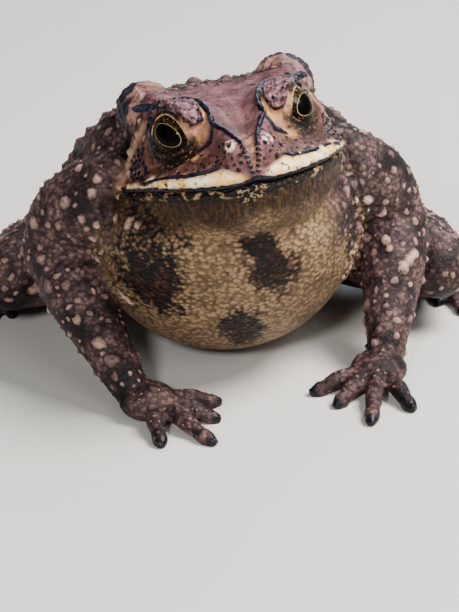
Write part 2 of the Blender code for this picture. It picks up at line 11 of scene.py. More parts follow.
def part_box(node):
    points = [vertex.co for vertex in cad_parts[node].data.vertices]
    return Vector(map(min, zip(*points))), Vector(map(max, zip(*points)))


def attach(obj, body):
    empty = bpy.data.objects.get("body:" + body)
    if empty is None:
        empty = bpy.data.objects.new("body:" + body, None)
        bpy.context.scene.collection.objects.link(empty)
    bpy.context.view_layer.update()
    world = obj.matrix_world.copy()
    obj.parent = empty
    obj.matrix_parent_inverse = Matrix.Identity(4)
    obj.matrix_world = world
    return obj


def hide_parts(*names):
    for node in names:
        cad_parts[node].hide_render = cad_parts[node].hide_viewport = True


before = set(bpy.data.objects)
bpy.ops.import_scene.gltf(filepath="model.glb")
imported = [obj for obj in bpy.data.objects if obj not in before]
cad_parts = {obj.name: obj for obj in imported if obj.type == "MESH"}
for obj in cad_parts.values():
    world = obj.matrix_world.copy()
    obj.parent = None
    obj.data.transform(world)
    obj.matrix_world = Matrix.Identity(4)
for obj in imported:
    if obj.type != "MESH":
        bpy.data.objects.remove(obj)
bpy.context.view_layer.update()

mm = 0.001
sides = {"left": 1.0, "right": -1.0}

# How the head and trunk are held, as in the solids; millimetres and degrees
stance = {
    "headSeat": (0.0, -10.0, 46.0),
    "headPitch": -8.0,
    "headRoll": -6.5,
    "trunkYaw": -11.0,
    "neckPivot": (0.0, 2.0, 0.0),
}


def turnX(degrees):
    # The matrix that turns a column by an angle about X; turnY and turnZ are its fellows
    c, s = math.cos(math.radians(degrees)), math.sin(math.radians(degrees))
    return np.array([[1, 0, 0], [0, c, -s], [0, s, c]])


def turnY(degrees):
    c, s = math.cos(math.radians(degrees)), math.sin(math.radians(degrees))
    return np.array([[c, 0, s], [0, 1, 0], [-s, 0, c]])


def turnZ(degrees):
    c, s = math.cos(math.radians(degrees)), math.sin(math.radians(degrees))
    return np.array([[c, -s, 0], [s, c, 0], [0, 0, 1]])


headTurn = turnY(stance["headRoll"]) @ turnX(stance["headPitch"])
headSeat = np.array(stance["headSeat"])
trunkTurn = turnZ(stance["trunkYaw"])
neckPivot = np.array(stance["neckPivot"])


def fromHead(points):
    # Out of the head's own frame: turned by roll and pitch, then moved to the head's seat
    return np.asarray(points, float) @ headTurn.T + headSeat


def toHead(points):
    # The way back, into the head's frame
    return (points - headSeat) @ headTurn


def fromTrunk(points):
    # Out of the trunk's own frame: turned about the neck's upright axis
    return (np.asarray(points, float) - neckPivot) @ trunkTurn.T + neckPivot


def toTrunk(points):
    # The way back, into the trunk's frame
    return (points - neckPivot) @ trunkTurn + neckPivot


def onSide(points, side):
    # Left-side places as they are, or mirrored to the right
    return np.asarray(points, float) * (sides[side], 1, 1)


eye = {
    # all as for the left side, in the head's frame; the right eye mirrors its own values
    "seat": (8.1, 0.3, -0.8),
    "radius": 4.5,
    "gaze": {"left": (0.745, -0.57, 0.35), "right": (0.643, -0.711, 0.28)},
    "roll": {"left": 12.0, "right": 0.0},  # degrees about the gaze, the top going back
    "lidThickness": 0.75,
    "corneaBulge": 0.03,  # share of the radius that the front stands proud
}

# The solids are centred on their footprint, so the shift is read from where the eyes sit
low, high = (np.array(corner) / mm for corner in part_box("eye_left"))
shift = (low + high) / 2 - fromHead([eye["seat"]])[0]


def catmull(points, count):
    # A smooth curve through the points: each stretch is a cubic set by its two neighbours on each side
    given = np.asarray(points, float)
    padded = np.vstack([2 * given[0] - given[1], given, 2 * given[-1] - given[-2]])
    place = np.linspace(0, len(given) - 1, count)
    step = np.minimum(place.astype(int), len(given) - 2)
    t = (place - step)[:, None]
    a, b, c, d = (padded[step + k] for k in range(4))
    return 0.5 * (
        2 * b + (c - a) * t + (2 * a - 5 * b + 4 * c - d) * t**2 + (3 * b - a - 3 * c + d) * t**3
    )


def unit(vectors):
    # Each vector over its own length
    return vectors / np.maximum(np.linalg.norm(vectors, axis=-1, keepdims=True), 1e-12)


def smooth(low, high, value):
    # 0 below low, 1 above high, and an S-shaped rise between
    t = np.clip((value - low) / (high - low), 0, 1)
    return t * t * (3 - 2 * t)


def bell(value, width):
    # 1 where the value is 0, and less on both sides of it along a bell curve
    return np.exp(-((value / width) ** 2))


def gridFaces(rows, columns):
    # Quads of a grid that is closed round its columns
    r, c = np.meshgrid(np.arange(rows - 1), np.arange(columns), indexing="ij")
    after = (c + 1) % columns
    return np.stack(
        [r * columns + c, r * columns + after, (r + 1) * columns + after, (r + 1) * columns + c], -1
    ).reshape(-1, 4)


class Pile:
    # Closed pieces waiting to be made one skin, each with the number of the part it belongs to

    def __init__(self):
        self.points, self.faces, self.parts, self.count = [], [], [], 0

    def add(self, rings, part):
        # rings is an array of loops; the first and last are closed by a fan to their middles
        rows, columns = rings.shape[:2]
        flat = rings.reshape(-1, 3)
        ends = np.stack([rings[0].mean(axis=0), rings[-1].mean(axis=0)])
        faces = gridFaces(rows, columns).tolist()
        first, last = rows * columns, rows * columns + 1
        for k in range(columns):
            faces.append((first, (k + 1) % columns, k))
            faces.append((last, (rows - 1) * columns + k, (rows - 1) * columns + (k + 1) % columns))
        self.points.append(np.vstack([flat, ends]))
        self.faces += [tuple(i + self.count for i in face) for face in faces]
        self.parts.append(np.full(len(flat) + 2, part))
        self.count += len(flat) + 2


ballEnds = (20, 40, 58, 74, 86)  # degrees round a tube's end at which its closing rings stand


def tubeRings(path, radii, columns=28, rows=30):
    # A tube along a smooth curve: each ring is a circle across the curve, and half balls close the ends
    line = catmull(path, rows)
    sizes = catmull(np.asarray(radii, float)[:, None], rows)[:, 0]
    tangents = unit(np.gradient(line, axis=0))

    def endRings(end, sense):
        way, size = tangents[end], sizes[end]
        turns = np.radians(ballEnds)
        return [(line[end] + sense * way * size * math.sin(t), way, size * math.cos(t)) for t in turns]

    stations = endRings(0, -1)[::-1] + list(zip(line, tangents, sizes)) + endRings(-1, 1)
    centres = np.array([s[0] for s in stations])
    along = np.array([s[1] for s in stations])
    size = np.array([s[2] for s in stations])[:, None, None]
    across = np.cross(along, (0.0, 0.0, 1.0))
    steep = np.linalg.norm(across, axis=1) < 0.2
    across[steep] = np.cross(along[steep], (0.0, 1.0, 0.0))
    across = unit(across)
    upward = np.cross(across, along)
    t = np.linspace(0, 2 * np.pi, columns, endpoint=False)[None, :, None]
    return centres[:, None] + size * (across[:, None] * np.cos(t) + upward[:, None] * np.sin(t))


def ballRings(centre, half, turn=None, columns=40, rows=24):
    # An ellipsoid: rings from pole to pole, each half axis in millimetres
    polar = np.linspace(0.04, np.pi - 0.04, rows)[:, None]
    t = np.linspace(0, 2 * np.pi, columns, endpoint=False)[None, :]
    local = np.stack([np.sin(polar) * np.cos(t), np.sin(polar) * np.sin(t), np.cos(polar) + 0 * t], -1)
    local = local * np.asarray(half)
    if turn is not None:
        local = local @ turn.T
    return local + np.asarray(centre)


# Parts of the body, as numbers that each point of the skin keeps
trunkPart, skullPart, armPart, forearmPart, handPart = 0, 1, 2, 3, 4
thighPart, shankPart, footPart, glandPart, lidPart = 5, 6, 7, 8, 9

trunk = {
    # along Y: half width, widest level, back and belly, the last three above the floor
    "stations": (
        (-19.0, 8.0, 29.0, 33.0, 26.5),
        (-16.0, 13.0, 28.0, 35.0, 19.0),
        (-11.0, 17.3, 26.0, 37.5, 11.2),
        (-4.0, 20.8, 25.5, 42.0, 4.8),
        (4.0, 23.3, 26.5, 46.0, 1.4),
        (12.0, 25.5, 26.0, 44.8, 0.3),
        (21.0, 27.5, 21.0, 40.0, -0.3),
        (30.0, 27.5, 16.0, 33.0, -0.5),
        (38.0, 24.0, 12.5, 26.0, -0.4),
        (45.0, 17.0, 10.0, 18.5, 0.6),
        (50.0, 8.5, 8.5, 12.5, 3.6),
    ),
}

skull = {
    # behind the eyes: lip half width, mouth level, crown level, crown half width, cheek, throat depth
    "stations": (
        (-14.4, 2.4, -6.7, -3.4, 1.0, 0.5, 3.2),
        (-13.6, 5.4, -6.8, -1.2, 1.7, 0.5, 5.4),
        (-11.5, 8.8, -6.9, -0.2, 2.4, 0.4, 7.8),
        (-8.5, 11.6, -7.1, 0.7, 3.2, 0.3, 9.6),
        (-5.4, 13.6, -7.4, 1.6, 4.2, 0.3, 10.6),
        (-2.0, 15.1, -7.9, 3.0, 5.2, 0.5, 11.0),
        (1.5, 16.3, -8.5, 3.9, 7.0, 0.55, 10.8),
        (5.0, 17.3, -9.2, 4.4, 10.6, 0.6, 10.4),
        (9.0, 17.9, -10.0, 4.5, 11.6, 0.6, 9.8),
        (13.0, 18.4, -11.0, 4.0, 11.6, 0.6, 9.0),
        (18.0, 18.4, -12.0, 3.0, 11.0, 0.6, 8.0),
    ),
    "lipHeight": 2.1,
    "mouthCorner": 9.3,
}


def trunkRings(rows=70, columns=90):
    # Each ring is an ellipse whose upper and lower halves have heights of their own
    back, half, level, top, bottom = catmull(trunk["stations"], rows).T[:, :, None]
    t = np.linspace(0, 2 * np.pi, columns, endpoint=False)[None, :]
    height = np.where(np.sin(t) > 0, top - level, level - bottom)
    rings = np.stack([half * np.cos(t), back + 0 * t, level + height * np.sin(t)], -1)
    return fromTrunk(rings)


def skullRings(rows=80, columns=120):
    # Each ring runs from the crown over cheek, lip and jaw to the throat, the same on both sides
    rings = []
    for back, lip, mouth, crown, brow, cheek, throat in catmull(skull["stations"], rows):
        lipTop = mouth + skull["lipHeight"]
        cheekX = brow + (lip - 1.0 - brow) * (0.35 + 0.35 * cheek)
        cheekZ = lipTop + (crown - lipTop) * (0.38 + 0.3 * cheek)
        half = [
            (0.0, crown - 0.5), (brow * 0.75, crown - 0.25), (brow, crown), (cheekX, cheekZ),
            (lip - 0.7, lipTop), (lip, mouth + 0.4), (lip - 0.5, mouth - 0.6),
            (lip * 0.9, mouth - throat * 0.42), (lip * 0.55, mouth - throat * 0.86), (0.0, mouth - throat),
        ]
        whole = half + [(-x, z) for x, z in half[-2:0:-1]] + half[:1]
        loop = catmull(whole, columns + 1)[:-1]
        rings.append(np.stack([loop[:, 0], np.full(columns, back), loop[:, 1]], -1))
    return fromHead(np.array(rings))


gland = {"seat": (11.2, 15.0, 0.9), "half": (4.6, 8.4, 4.3)}  # in the head's frame, left side

limbs = {
    # places in millimetres, turns in degrees; each row of radii runs from the body outwards
    "shoulder": {"left": (18.8, 3.4, 30.6), "right": (-16.6, 3.0, 30.0)},
    "elbow": {"left": (29.6, 4.5, 20.5), "right": (-27.0, 6.5, 21.0)},
    "wrist": {"left": (24.0, -10.0, 4.4), "right": (-18.5, -12.5, 4.4)},
    "armRadii": (8.0, 7.3, 5.9, 5.0),
    "forearmRadii": (5.0, 5.3, 4.2, 3.1),
    "handTurn": {"left": 34.0, "right": 46.0},
    "palmHalf": (4.6, 4.6, 2.9),
    "fingerLengths": (9.0, 9.0, 13.0, 9.5),
    "fingerSpread": 92.0,
    "fingerRadii": (1.6, 1.35, 1.5, 1.2, 1.35, 0.95),
    "hip": (13.0, 35.5, 12.5),
    "knee": (35.5, 13.5, 11.0),
    "ankle": (29.5, 47.0, 5.2),
    "tarsusEnd": (38.5, 31.0, 2.9),
    "thighRadii": (8.6, 9.3, 8.2, 5.8),
    "shankRadii": (5.2, 6.4, 5.6, 3.8),
    "tarsusRadii": (4.0, 3.5, 3.5),
    "toeLengths": (9.0, 13.0, 20.0, 30.0, 19.0),
    "toeSpread": 74.0,
    "footTurn": -24.0,
    "toeRadii": (1.7, 1.4, 1.5, 1.2, 1.35, 1.05, 1.15, 0.85),
    "webShare": 0.62,
    "webThickness": 1.0,
}


def digitPaths(root, heading, lengths, spread, radii, side, start):
    # Fingers or toes fan out over the floor from a root; each path drops to the floor and runs along it
    out = -sides[side]
    paths = []
    for k, length in enumerate(lengths):
        turn = math.radians(heading + spread * (0.5 - k / (len(lengths) - 1)))
        way = np.array((out * math.sin(turn), -math.cos(turn), 0.0))
        flat = np.array(root) * (1, 1, 0)
        tip = radii[-1] - 0.3
        paths.append([
            np.array(root) + way * start * 0.3,
            flat + way * (start + length * 0.35) + (0, 0, tip + 1.5),
            flat + way * (start + length * 0.72) + (0, 0, tip + 0.35),
            flat + way * (start + length - radii[-1]) + (0, 0, tip),
        ])
    return paths


def addHand(pile, side):
    # A flattened ball for the palm and four fingers fanned out from it
    wrist = np.array(limbs["wrist"][side])
    turn = limbs["handTurn"][side]
    way = np.array((-math.sin(math.radians(turn)) * sides[side], -math.cos(math.radians(turn)), 0.0))
    palmAt = wrist + way * 3.6 + (0, 0, -1.9)
    pile.add(ballRings(palmAt, limbs["palmHalf"], turnZ(-turn * sides[side])), handPart)
    paths = digitPaths(
        palmAt, turn, limbs["fingerLengths"], limbs["fingerSpread"], limbs["fingerRadii"], side, 3.2
    )
    for path in paths:
        pile.add(tubeRings(path, limbs["fingerRadii"], 20, 24), handPart)
    return paths


def addFoot(pile, side, ankle, foot):
    # The long ankle, five toes, and a thin web whose edge dips between them
    pile.add(tubeRings([ankle, foot], limbs["tarsusRadii"]), footPart)
    heading = limbs["footTurn"] - stance["trunkYaw"] * sides[side]
    paths = digitPaths(foot, heading, limbs["toeLengths"], limbs["toeSpread"], limbs["toeRadii"], side, 2.0)
    for path in paths:
        pile.add(tubeRings(path, limbs["toeRadii"], 20, 30), footPart)
    reaches = [foot + (np.array(p[-1]) - foot) * limbs["webShare"] for p in paths]
    outline = [np.array(foot)]
    for k, reach in enumerate(reaches):
        outline.append(reach)
        if k + 1 < len(reaches):
            outline.append(foot + ((reach + reaches[k + 1]) / 2 - foot) * 0.9)
    edge = catmull(outline[1:], 60)
    loop = np.vstack([outline[0], edge])
    levels = [-0.3, limbs["webThickness"]]
    rings = np.array([np.column_stack([loop[:, :2], np.full(len(loop), z)]) for z in levels])
    pile.add(rings, footPart)
    return paths


def pileUp():
    # All the closed pieces of the body, and the paths of its fingers and toes
    pile = Pile()
    pile.add(trunkRings(), trunkPart)
    pile.add(skullRings(), skullPart)
    digits = {}
    for side in sides:
        lid = fromHead([onSide(eye["seat"], side)])[0]
        pile.add(ballRings(lid, [eye["radius"] + eye["lidThickness"]] * 3), lidPart)
        seat = fromHead([onSide(gland["seat"], side)])[0]
        pile.add(ballRings(seat, gland["half"], headTurn), glandPart)
        shoulder, elbow, wrist = (np.array(limbs[k][side]) for k in ("shoulder", "elbow", "wrist"))
        middle = (shoulder + elbow) / 2 + onSide((2.2, 1.5, 0.5), side)
        pile.add(tubeRings([shoulder, middle, elbow], limbs["armRadii"]), armPart)
        pile.add(tubeRings([elbow, wrist], limbs["forearmRadii"]), forearmPart)
        hip, knee, ankle, foot = (
            fromTrunk(onSide(limbs[k], side)) for k in ("hip", "knee", "ankle", "tarsusEnd")
        )
        pile.add(tubeRings([hip, knee], limbs["thighRadii"]), thighPart)
        pile.add(tubeRings([knee, ankle], limbs["shankRadii"]), shankPart)
        digits["hand", side] = addHand(pile, side)
        digits["foot", side] = addFoot(pile, side, ankle, foot)
    return pile, digits


def newObject(name, mesh):
    made = bpy.data.objects.new(name, mesh)
    bpy.context.scene.collection.objects.link(made)
    return made


def settle(made):
    # Gives the object the mesh that its modifiers make
    bpy.context.view_layer.update()
    graph = bpy.context.evaluated_depsgraph_get()
    mesh = bpy.data.meshes.new_from_object(made.evaluated_get(graph))
    made.modifiers.clear()
    made.data = mesh
    return made


def coordinates(mesh, kind="co"):
    # One row of three for each point: its place, or its normal
    flat = np.empty(len(mesh.vertices) * 3, np.float32)
    mesh.vertices.foreach_get(kind, flat)
    return flat.reshape(-1, 3).astype(float)


def edgePairs(mesh):
    # The two points of each edge
    flat = np.empty(len(mesh.edges) * 2, np.int32)
    mesh.edges.foreach_get("vertices", flat)
    return flat.reshape(-1, 2)


def setCoordinates(mesh, points):
    mesh.vertices.foreach_set("co", points.astype(np.float32).ravel())
    mesh.update()


def neighbourMean(values, pairs, count):
    # For each point, the mean of the values at the points that an edge joins to it
    total = np.zeros((count, values.shape[1]))
    a, b = pairs[:, 0], pairs[:, 1]
    for k in range(values.shape[1]):
        total[:, k] = np.bincount(a, values[b, k], count) + np.bincount(b, values[a, k], count)
    degree = np.bincount(a, minlength=count) + np.bincount(b, minlength=count)
    return total / np.maximum(degree, 1)[:, None]


def relax(points, pairs, weight, rounds):
    # Each round moves a point towards its neighbours' mean and half of the way back out, to keep volume
    for _ in range(rounds):
        for pull in (0.5, -0.51):
            points = points + (neighbourMean(points, pairs, len(points)) - points) * weight[:, None] * pull
    return points


skin = {
    "voxel": 0.6,  # millimetres
    "creaseRounds": 14,  # rounds of smoothing where the pieces meet
    "limit": 190000,  # triangles
}


def makeSkin(pile):
    # Fuses the pile into one skin; each point takes the part number of the nearest point of the pile
    points = np.vstack(pile.points)
    points = sinkSockets(points, nearHead(points))
    mesh = bpy.data.meshes.new("skin")
    mesh.from_pydata(points.tolist(), [], pile.faces)
    made = newObject("skin", mesh)
    change = made.modifiers.new("fuse", "REMESH")
    change.mode = "VOXEL"
    change.voxel_size = skin["voxel"]
    settle(made)
    print("fused skin", len(made.data.vertices))
    tree = KDTree(pile.count)
    for index, point in enumerate(points):
        tree.insert(point, index)
    tree.balance()
    labels = np.concatenate(pile.parts)
    points = coordinates(made.data)
    part = np.array([labels[tree.find(p)[1]] for p in points])
    return made, part


def refine(made, part, chosen):
    # Splits each chosen quad in four; new points take the part number of a neighbour
    body = bmesh.new()
    body.from_mesh(made.data)
    layer = body.verts.layers.int.new("part")
    body.verts.ensure_lookup_table()
    for vert in body.verts:
        vert[layer] = int(part[vert.index])
    edges = [e for e in body.edges if chosen[e.verts[0].index] and chosen[e.verts[1].index]]
    bmesh.ops.subdivide_edges(body, edges=edges, cuts=1, use_grid_fill=True)
    body.to_mesh(made.data)
    part = np.array([vert[layer] for vert in body.verts])
    body.free()
    return part


def lineDistance(points, line):
    # Distance from each point to a broken line, and how far along it the nearest place is, 0 to 1
    line = np.asarray(line, float)
    steps = np.linalg.norm(np.diff(line, axis=0), axis=1)
    before = np.concatenate([[0], np.cumsum(steps)])
    best = np.full(len(points), 1e9)
    place = np.zeros(len(points))
    for k, step in enumerate(steps):
        way = (line[k + 1] - line[k]) / max(step, 1e-9)
        t = np.clip((points - line[k]) @ way, 0, step)
        gap = np.linalg.norm(points - line[k] - t[:, None] * way, axis=1)
        nearer = gap < best
        best[nearer] = gap[nearer]
        place[nearer] = (before[k] + t[nearer]) / before[-1]
    return best, place


def loopDistance(points, loop):
    # Distance to a closed outline in the plane, below zero inside it
    best = np.full(len(points), 1e9)
    crossings = np.zeros(len(points), int)
    for a, b in zip(loop, np.roll(loop, -1, axis=0)):
        way = b - a
        t = np.clip(((points - a) @ way) / max(way @ way, 1e-12), 0, 1)
        best = np.minimum(best, np.linalg.norm(points - a - t[:, None] * way, axis=1))
        spans = (a[1] > points[:, 1]) != (b[1] > points[:, 1])
        rise = way[1] if abs(way[1]) > 1e-9 else 1e-9
        crossings += spans & (points[:, 0] < a[0] + (points[:, 1] - a[1]) / rise * way[0])
    return np.where(crossings % 2 == 1, -best, best)


class Surface:
    # A search tree over a mesh, for laying lines and warts on it
    def __init__(self, mesh):
        faces = [tuple(p.vertices) for p in mesh.polygons]
        self.tree = BVHTree.FromPolygons([tuple(v) for v in coordinates(mesh)], faces)

    def snap(self, points):
        return np.array([self.tree.find_nearest(Vector(p))[0] for p in points])


def ripple(points, size, seed):
    # Smooth random values, mostly from -1 to 1: sine waves in random directions, each about size long
    rng = np.random.default_rng(seed)
    total = np.zeros(len(points))
    for _ in range(7):
        way = unit(rng.normal(size=3)) * 2 * np.pi / (size * rng.uniform(0.7, 1.5))
        total += np.sin(points @ way + rng.uniform(0, 7))
    return total / 3.2


# Lines of the left side of the head, in the head's frame; the right side mirrors them
headLines = {
    # from the eye's front corner down the snout to the lip
    "canthal": (
        (4.1, -5.8, 1.5), (3.0, -8.0, 0.9), (2.1, -10.3, 0.2), (1.5, -12.2, -0.7),
        (1.15, -13.6, -1.8), (0.85, -14.2, -3.0), (0.5, -14.4, -4.6), (0.25, -14.5, -6.0),
    ),
    "brow": (
        (4.1, -5.8, 1.5), (3.9, -4.0, 2.4), (4.0, -2.0, 3.4), (4.6, 0.6, 4.4), (5.8, 3.2, 4.9),
        (7.5, 5.2, 4.4), (9.4, 5.6, 4.1), (10.8, 5.2, 3.9), (11.8, 5.1, 3.6),
    ),
    "behindEye": (
        (11.7, 5.6, 3.3), (12.2, 5.0, 2.0), (12.5, 3.5, 1.7), (12.7, 2.1, 1.4),
        (13.0, 1.3, 0.5), (13.1, 0.8, -0.9), (12.8, 0.4, -2.1),
    ),
    "beforeEye": (
        (4.0, -6.5, 1.3), (4.7, -7.1, 0.2), (5.2, -7.4, -0.6), (6.0, -7.0, -1.2), (6.8, -6.8, -2.2),
    ),
    "earRidge": ((11.8, 5.2, 3.6), (12.5, 6.6, 3.4), (13.2, 8.0, 3.1), (13.9, 9.0, 2.9)),
    "lipRidge": (
        (4.6, -12.9, -3.2), (5.9, -12.6, -3.8), (7.5, -11.5, -4.3), (9.7, -9.9, -4.65),
        (11.5, -7.6, -5.0), (13.2, -5.0, -5.5), (14.4, -3.1, -6.0), (15.7, -0.8, -6.95),
    ),
    # the smooth ochre skin beside the eye, the groove round the pad, and the pad on the upper lid
    "lidMargin": (
        (9.4, -2.8, 3.0), (8.6, -4.1, 2.0), (7.9, -4.7, 1.0), (7.7, -5.0, -0.6), (7.9, -5.8, -2.3),
    ),
    "lidGroove": (
        (5.2, -1.0, 3.6), (5.0, -3.0, 2.6), (5.2, -4.6, 1.4), (6.0, -5.4, 0.4), (7.0, -5.7, -0.8),
        (7.6, -6.1, -2.2),
    ),
    "pad": ((10.9, 4.9, 3.8), (9.0, 3.0, 4.2), (7.8, 0.6, 4.3), (7.0, -1.6, 3.6), (6.5, -3.2, 2.4)),
    # the pale stripe from behind the eye down to the mouth's corner
    "stripe": (
        (13.4, 5.4, 0.5), (14.5, 6.2, -1.5), (15.5, 6.9, -3.5), (16.6, 7.9, -5.8), (17.4, 8.0, -7.1),
        (18.0, 7.6, -8.4),
    ),
    "jawFold": ((17.4, 10.6, -6.5), (18.4, 11.2, -9.8), (18.2, 10.4, -13.5), (16.6, 8.0, -17.5)),
}
# Half width and height of each ridge in millimetres, the share of its length where it breaks into a row of
# beads (2 for none), and whether it has a few gaps besides
crestSizes = {
    "canthal": (0.36, 0.5, 0.62, False),
    "brow": (0.41, 0.7, 2.0, False),
    "behindEye": (0.34, 0.5, 2.0, False),
    "beforeEye": (0.34, 0.42, 2.0, False),
    "earRidge": (0.6, 0.3, 2.0, False),
    "lipRidge": (0.34, 0.34, 2.0, True),
}
beadPitch = 0.78
padHalf = (1.2, 2.3, 2.5, 2.1, 1.6)  # half width of the pad on the lid, from its back to its front
# Level of the upper edge of the pale lip, by distance from the middle
lipTop = (
    (0.0, -5.7), (1.5, -5.2), (3.0, -4.5), (4.6, -4.0), (6.0, -4.1), (7.5, -4.5), (9.7, -4.75),
    (11.5, -5.1), (13.2, -5.6), (14.4, -6.1), (15.7, -7.1), (17.0, -7.9),
)
nostril = {"seat": (2.85, -12.3, -1.0), "ring": 0.62, "pit": 0.4}
eardrum = {"seat": (16.2, 10.4, -2.8), "radius": 2.5}
# Outline of the eye opening round the gaze, towards the snout and up, measured over the ball's surface
openingLoop = (
    (-3.8, -1.16), (-3.7, 1.1), (-2.8, 2.9), (-0.9, 3.35), (1.2, 2.45), (2.8, 0.7), (3.4, -1.0),
    (2.9, -1.9), (1.3, -2.8), (-1.0, -3.1), (-3.0, -2.6),
)
pupil = {"long": 2.6, "short": 1.55, "tilt": 27.0}  # half axes over the ball in millimetres, and degrees


def mouthLevel(back, across):
    # Height of the mouth line in the head's frame, with a small notch upwards in the middle of the snout
    level = np.interp(back, [s[0] for s in skull["stations"]], [s[2] for s in skull["stations"]])
    return level + 0.3 * bell(across, 1.6) * (back < -11)


def mouthLine(reach):
    # The edge of the mouth on the left side, from the snout back to a distance behind the eyes
    first = skull["stations"][0]
    line = [(0.0, first[0] - 0.3, first[2] + 0.3)]
    line += [(s[1] - 0.1, s[0], s[2] - 0.1) for s in skull["stations"] if s[0] <= reach]
    return catmull(line, 50)


def eyeFrame(side):
    # Middle of the eye as for the left side, its gaze, and the directions across it to the snout and up
    gaze = unit(np.array(eye["gaze"][side]))
    up = unit(np.array((0, 0, 1.0)) - gaze[2] * gaze)
    snout = np.cross(up, gaze)
    snout = snout if snout[1] < 0 else -snout
    roll = math.radians(eye["roll"][side])
    rolled = snout * math.cos(roll) + up * math.sin(roll)
    return np.array(eye["seat"]), gaze, rolled, up * math.cos(roll) - snout * math.sin(roll)


def eyePlace(points, side):
    # How far each point is from the eye's middle, and its place round the gaze, both in millimetres
    seat, gaze, snout, up = eyeFrame(side)
    away = points - seat
    far = np.linalg.norm(away, axis=1)
    way = away / np.maximum(far, 1e-6)[:, None]
    front = np.clip(way @ gaze, -1, 1)
    flat = np.column_stack([way @ snout, way @ up])
    flat *= (eye["radius"] * np.arccos(front) / np.maximum(np.sqrt(1 - front**2), 1e-6))[:, None]
    return far, way, front, flat


def overLeft(points):
    # Places in the head's frame, all turned over to the left side, and the side that each was on
    local = toHead(points)
    side = np.where(local[:, 0] < 0, -1.0, 1.0)
    return mirrored(local, side), side


def mirrored(places, side):
    # Places with their X times the side, which is 1 or -1
    return places * np.column_stack([side, np.ones_like(side), np.ones_like(side)])


def fromLeft(place, side):
    # Back from the left side to each point's own side, and out of the head's frame
    return fromHead(mirrored(place, side))


def roundEyes(place, side):
    # For each point: how far it is from the eye's middle and which way, how far round from the gaze, and
    # how far it is outside the opening, measured over the ball
    far, front, gap = (np.zeros(len(place)) for _ in range(3))
    way, flat = np.zeros((len(place), 3)), np.zeros((len(place), 2))
    loop = catmull(openingLoop + openingLoop[:1], 72)[:-1]
    for name, sign in sides.items():
        these = side == sign
        far[these], way[these], front[these], flat[these] = eyePlace(place[these], name)
        gap[these] = loopDistance(flat[these], loop)
    return far, way, front, flat, gap


# How the skin comes to the eyeballs: millimetres from the opening, or from the eye's middle
lids = {
    "flat": 0.6,  # width of the lid before the skin may rise from it
    "rise": (0.9, 0.5),  # and how it may rise after that: with the distance, and with its square
    "socketFar": (8.2, 9.6),
    "socketGap": (1.8, 3.2),
    "rim": (0.14, 0.1),  # thickness at the opening, and height of the thin bead along it
    "inside": 1.3,  # how far the skin goes in behind the ball's surface
    "reach": 7.6,
}


def sinkSockets(points, near):
    # Hollows the skin round each eye: no farther out than the lid near the opening, and beyond that
    # a rise that steepens with the distance from it
    place, side = overLeft(points[near])
    far, way, front, flat, gap = roundEyes(place, side)
    beyond = np.maximum(gap - lids["flat"], 0)
    slope, curve = lids["rise"]
    ceiling = eye["radius"] + eye["lidThickness"] + slope * beyond + curve * beyond**2
    drop = np.maximum(far - ceiling, 0) * smooth(-0.2, 0.05, front) * (1 - smooth(*lids["socketFar"], far))
    drop *= 1 - smooth(*lids["socketGap"], gap)
    points = points.copy()
    points[near] = fromLeft(place - way * drop[:, None], side)
    return points


def drawLids(points, near):
    # Draws the skin to a shell round each eyeball, open where the outline says, with a thin raised rim;
    # also gives the share by which each point is smoothed afterwards
    place, side = overLeft(points[near])
    far, way, front, flat, gap = roundEyes(place, side)
    radius, thick = eye["radius"], eye["lidThickness"]
    thin, bead = lids["rim"]
    lid = radius + thin + (thick - thin) * smooth(0.1, 1.2, gap) + bead * bell(gap - 0.25, 0.18)
    target = np.where(gap < 0, radius - lids["inside"] * smooth(0.0, 0.3, -gap), lid)
    shell = 1 - smooth(0.5, 1.5, np.abs(far - radius - thick))
    strength = np.where(gap < 0.5, 1.0, (1 - smooth(0.5, 1.6, gap)) * shell)
    strength = strength * (front > -0.2) * (far < lids["reach"])
    points = points.copy()
    points[near] = fromLeft(place + way * ((target - far) * strength)[:, None], side)
    return points, np.clip((gap - 0.3) / 0.5, 0, 1) * (gap < 3.5) * (far < 9)


class HeadSkin:
    # The skin's points round the head, all turned over to the left side, and how far each is to be raised
    def __init__(self, points, near, ofHead, surface, fields):
        self.near, self.surface, self.fields = near, surface, fields
        self.ofHead = ofHead[near]
        self.local = toHead(points[near])
        self.place, self.side = overLeft(points[near])
        far, way, front, self.flat, outside = roundEyes(self.place, self.side)
        self.zone = (front > -0.2) & (far < lids["reach"])
        self.outside = np.where(self.zone, outside, 9)
        self.lift = np.zeros(len(near))

    def keep(self, name, values):
        # Writes a field for the head's points
        self.fields[name][self.near] = values

    def gapTo(self, line):
        # Distance to a line laid on the skin, on each side by itself; also how far along it
        gap, along = np.full(len(self.near), 1e9), np.zeros(len(self.near))
        for sign in sides.values():
            these = self.side == sign
            laid = toHead(self.surface.snap(fromHead(np.atleast_2d(line) * (sign, 1, 1)))) * (sign, 1, 1)
            if len(laid) == 1:
                gap[these] = np.linalg.norm(self.place[these] - laid[0], axis=1)
            else:
                gap[these], along[these] = lineDistance(self.place[these], laid)
        return gap, along


# Heights in millimetres by which things on the head are raised or sunk
relief = {
    "crown": 0.9,
    "snoutSides": 0.7,
    "lidFolds": 0.09,
    "lidBack": 0.7,
    "mouthGroove": 0.75,
    "mouthCord": 0.34,
    "upperLip": 0.26,
    "lowerLip": 0.25,
    "jawFold": 1.2,
    "pad": 0.12,
    "padFront": 0.45,  # and so much more towards its front
    "padKnobs": 0.22,
    "padRim": 0.2,
    "padGroove": 0.3,
    "nostrilRing": 0.3,
    "nostrilMound": 0.3,
    "nostrilPit": 1.0,
    "ear": 0.35,
    "earRim": 0.25,
}


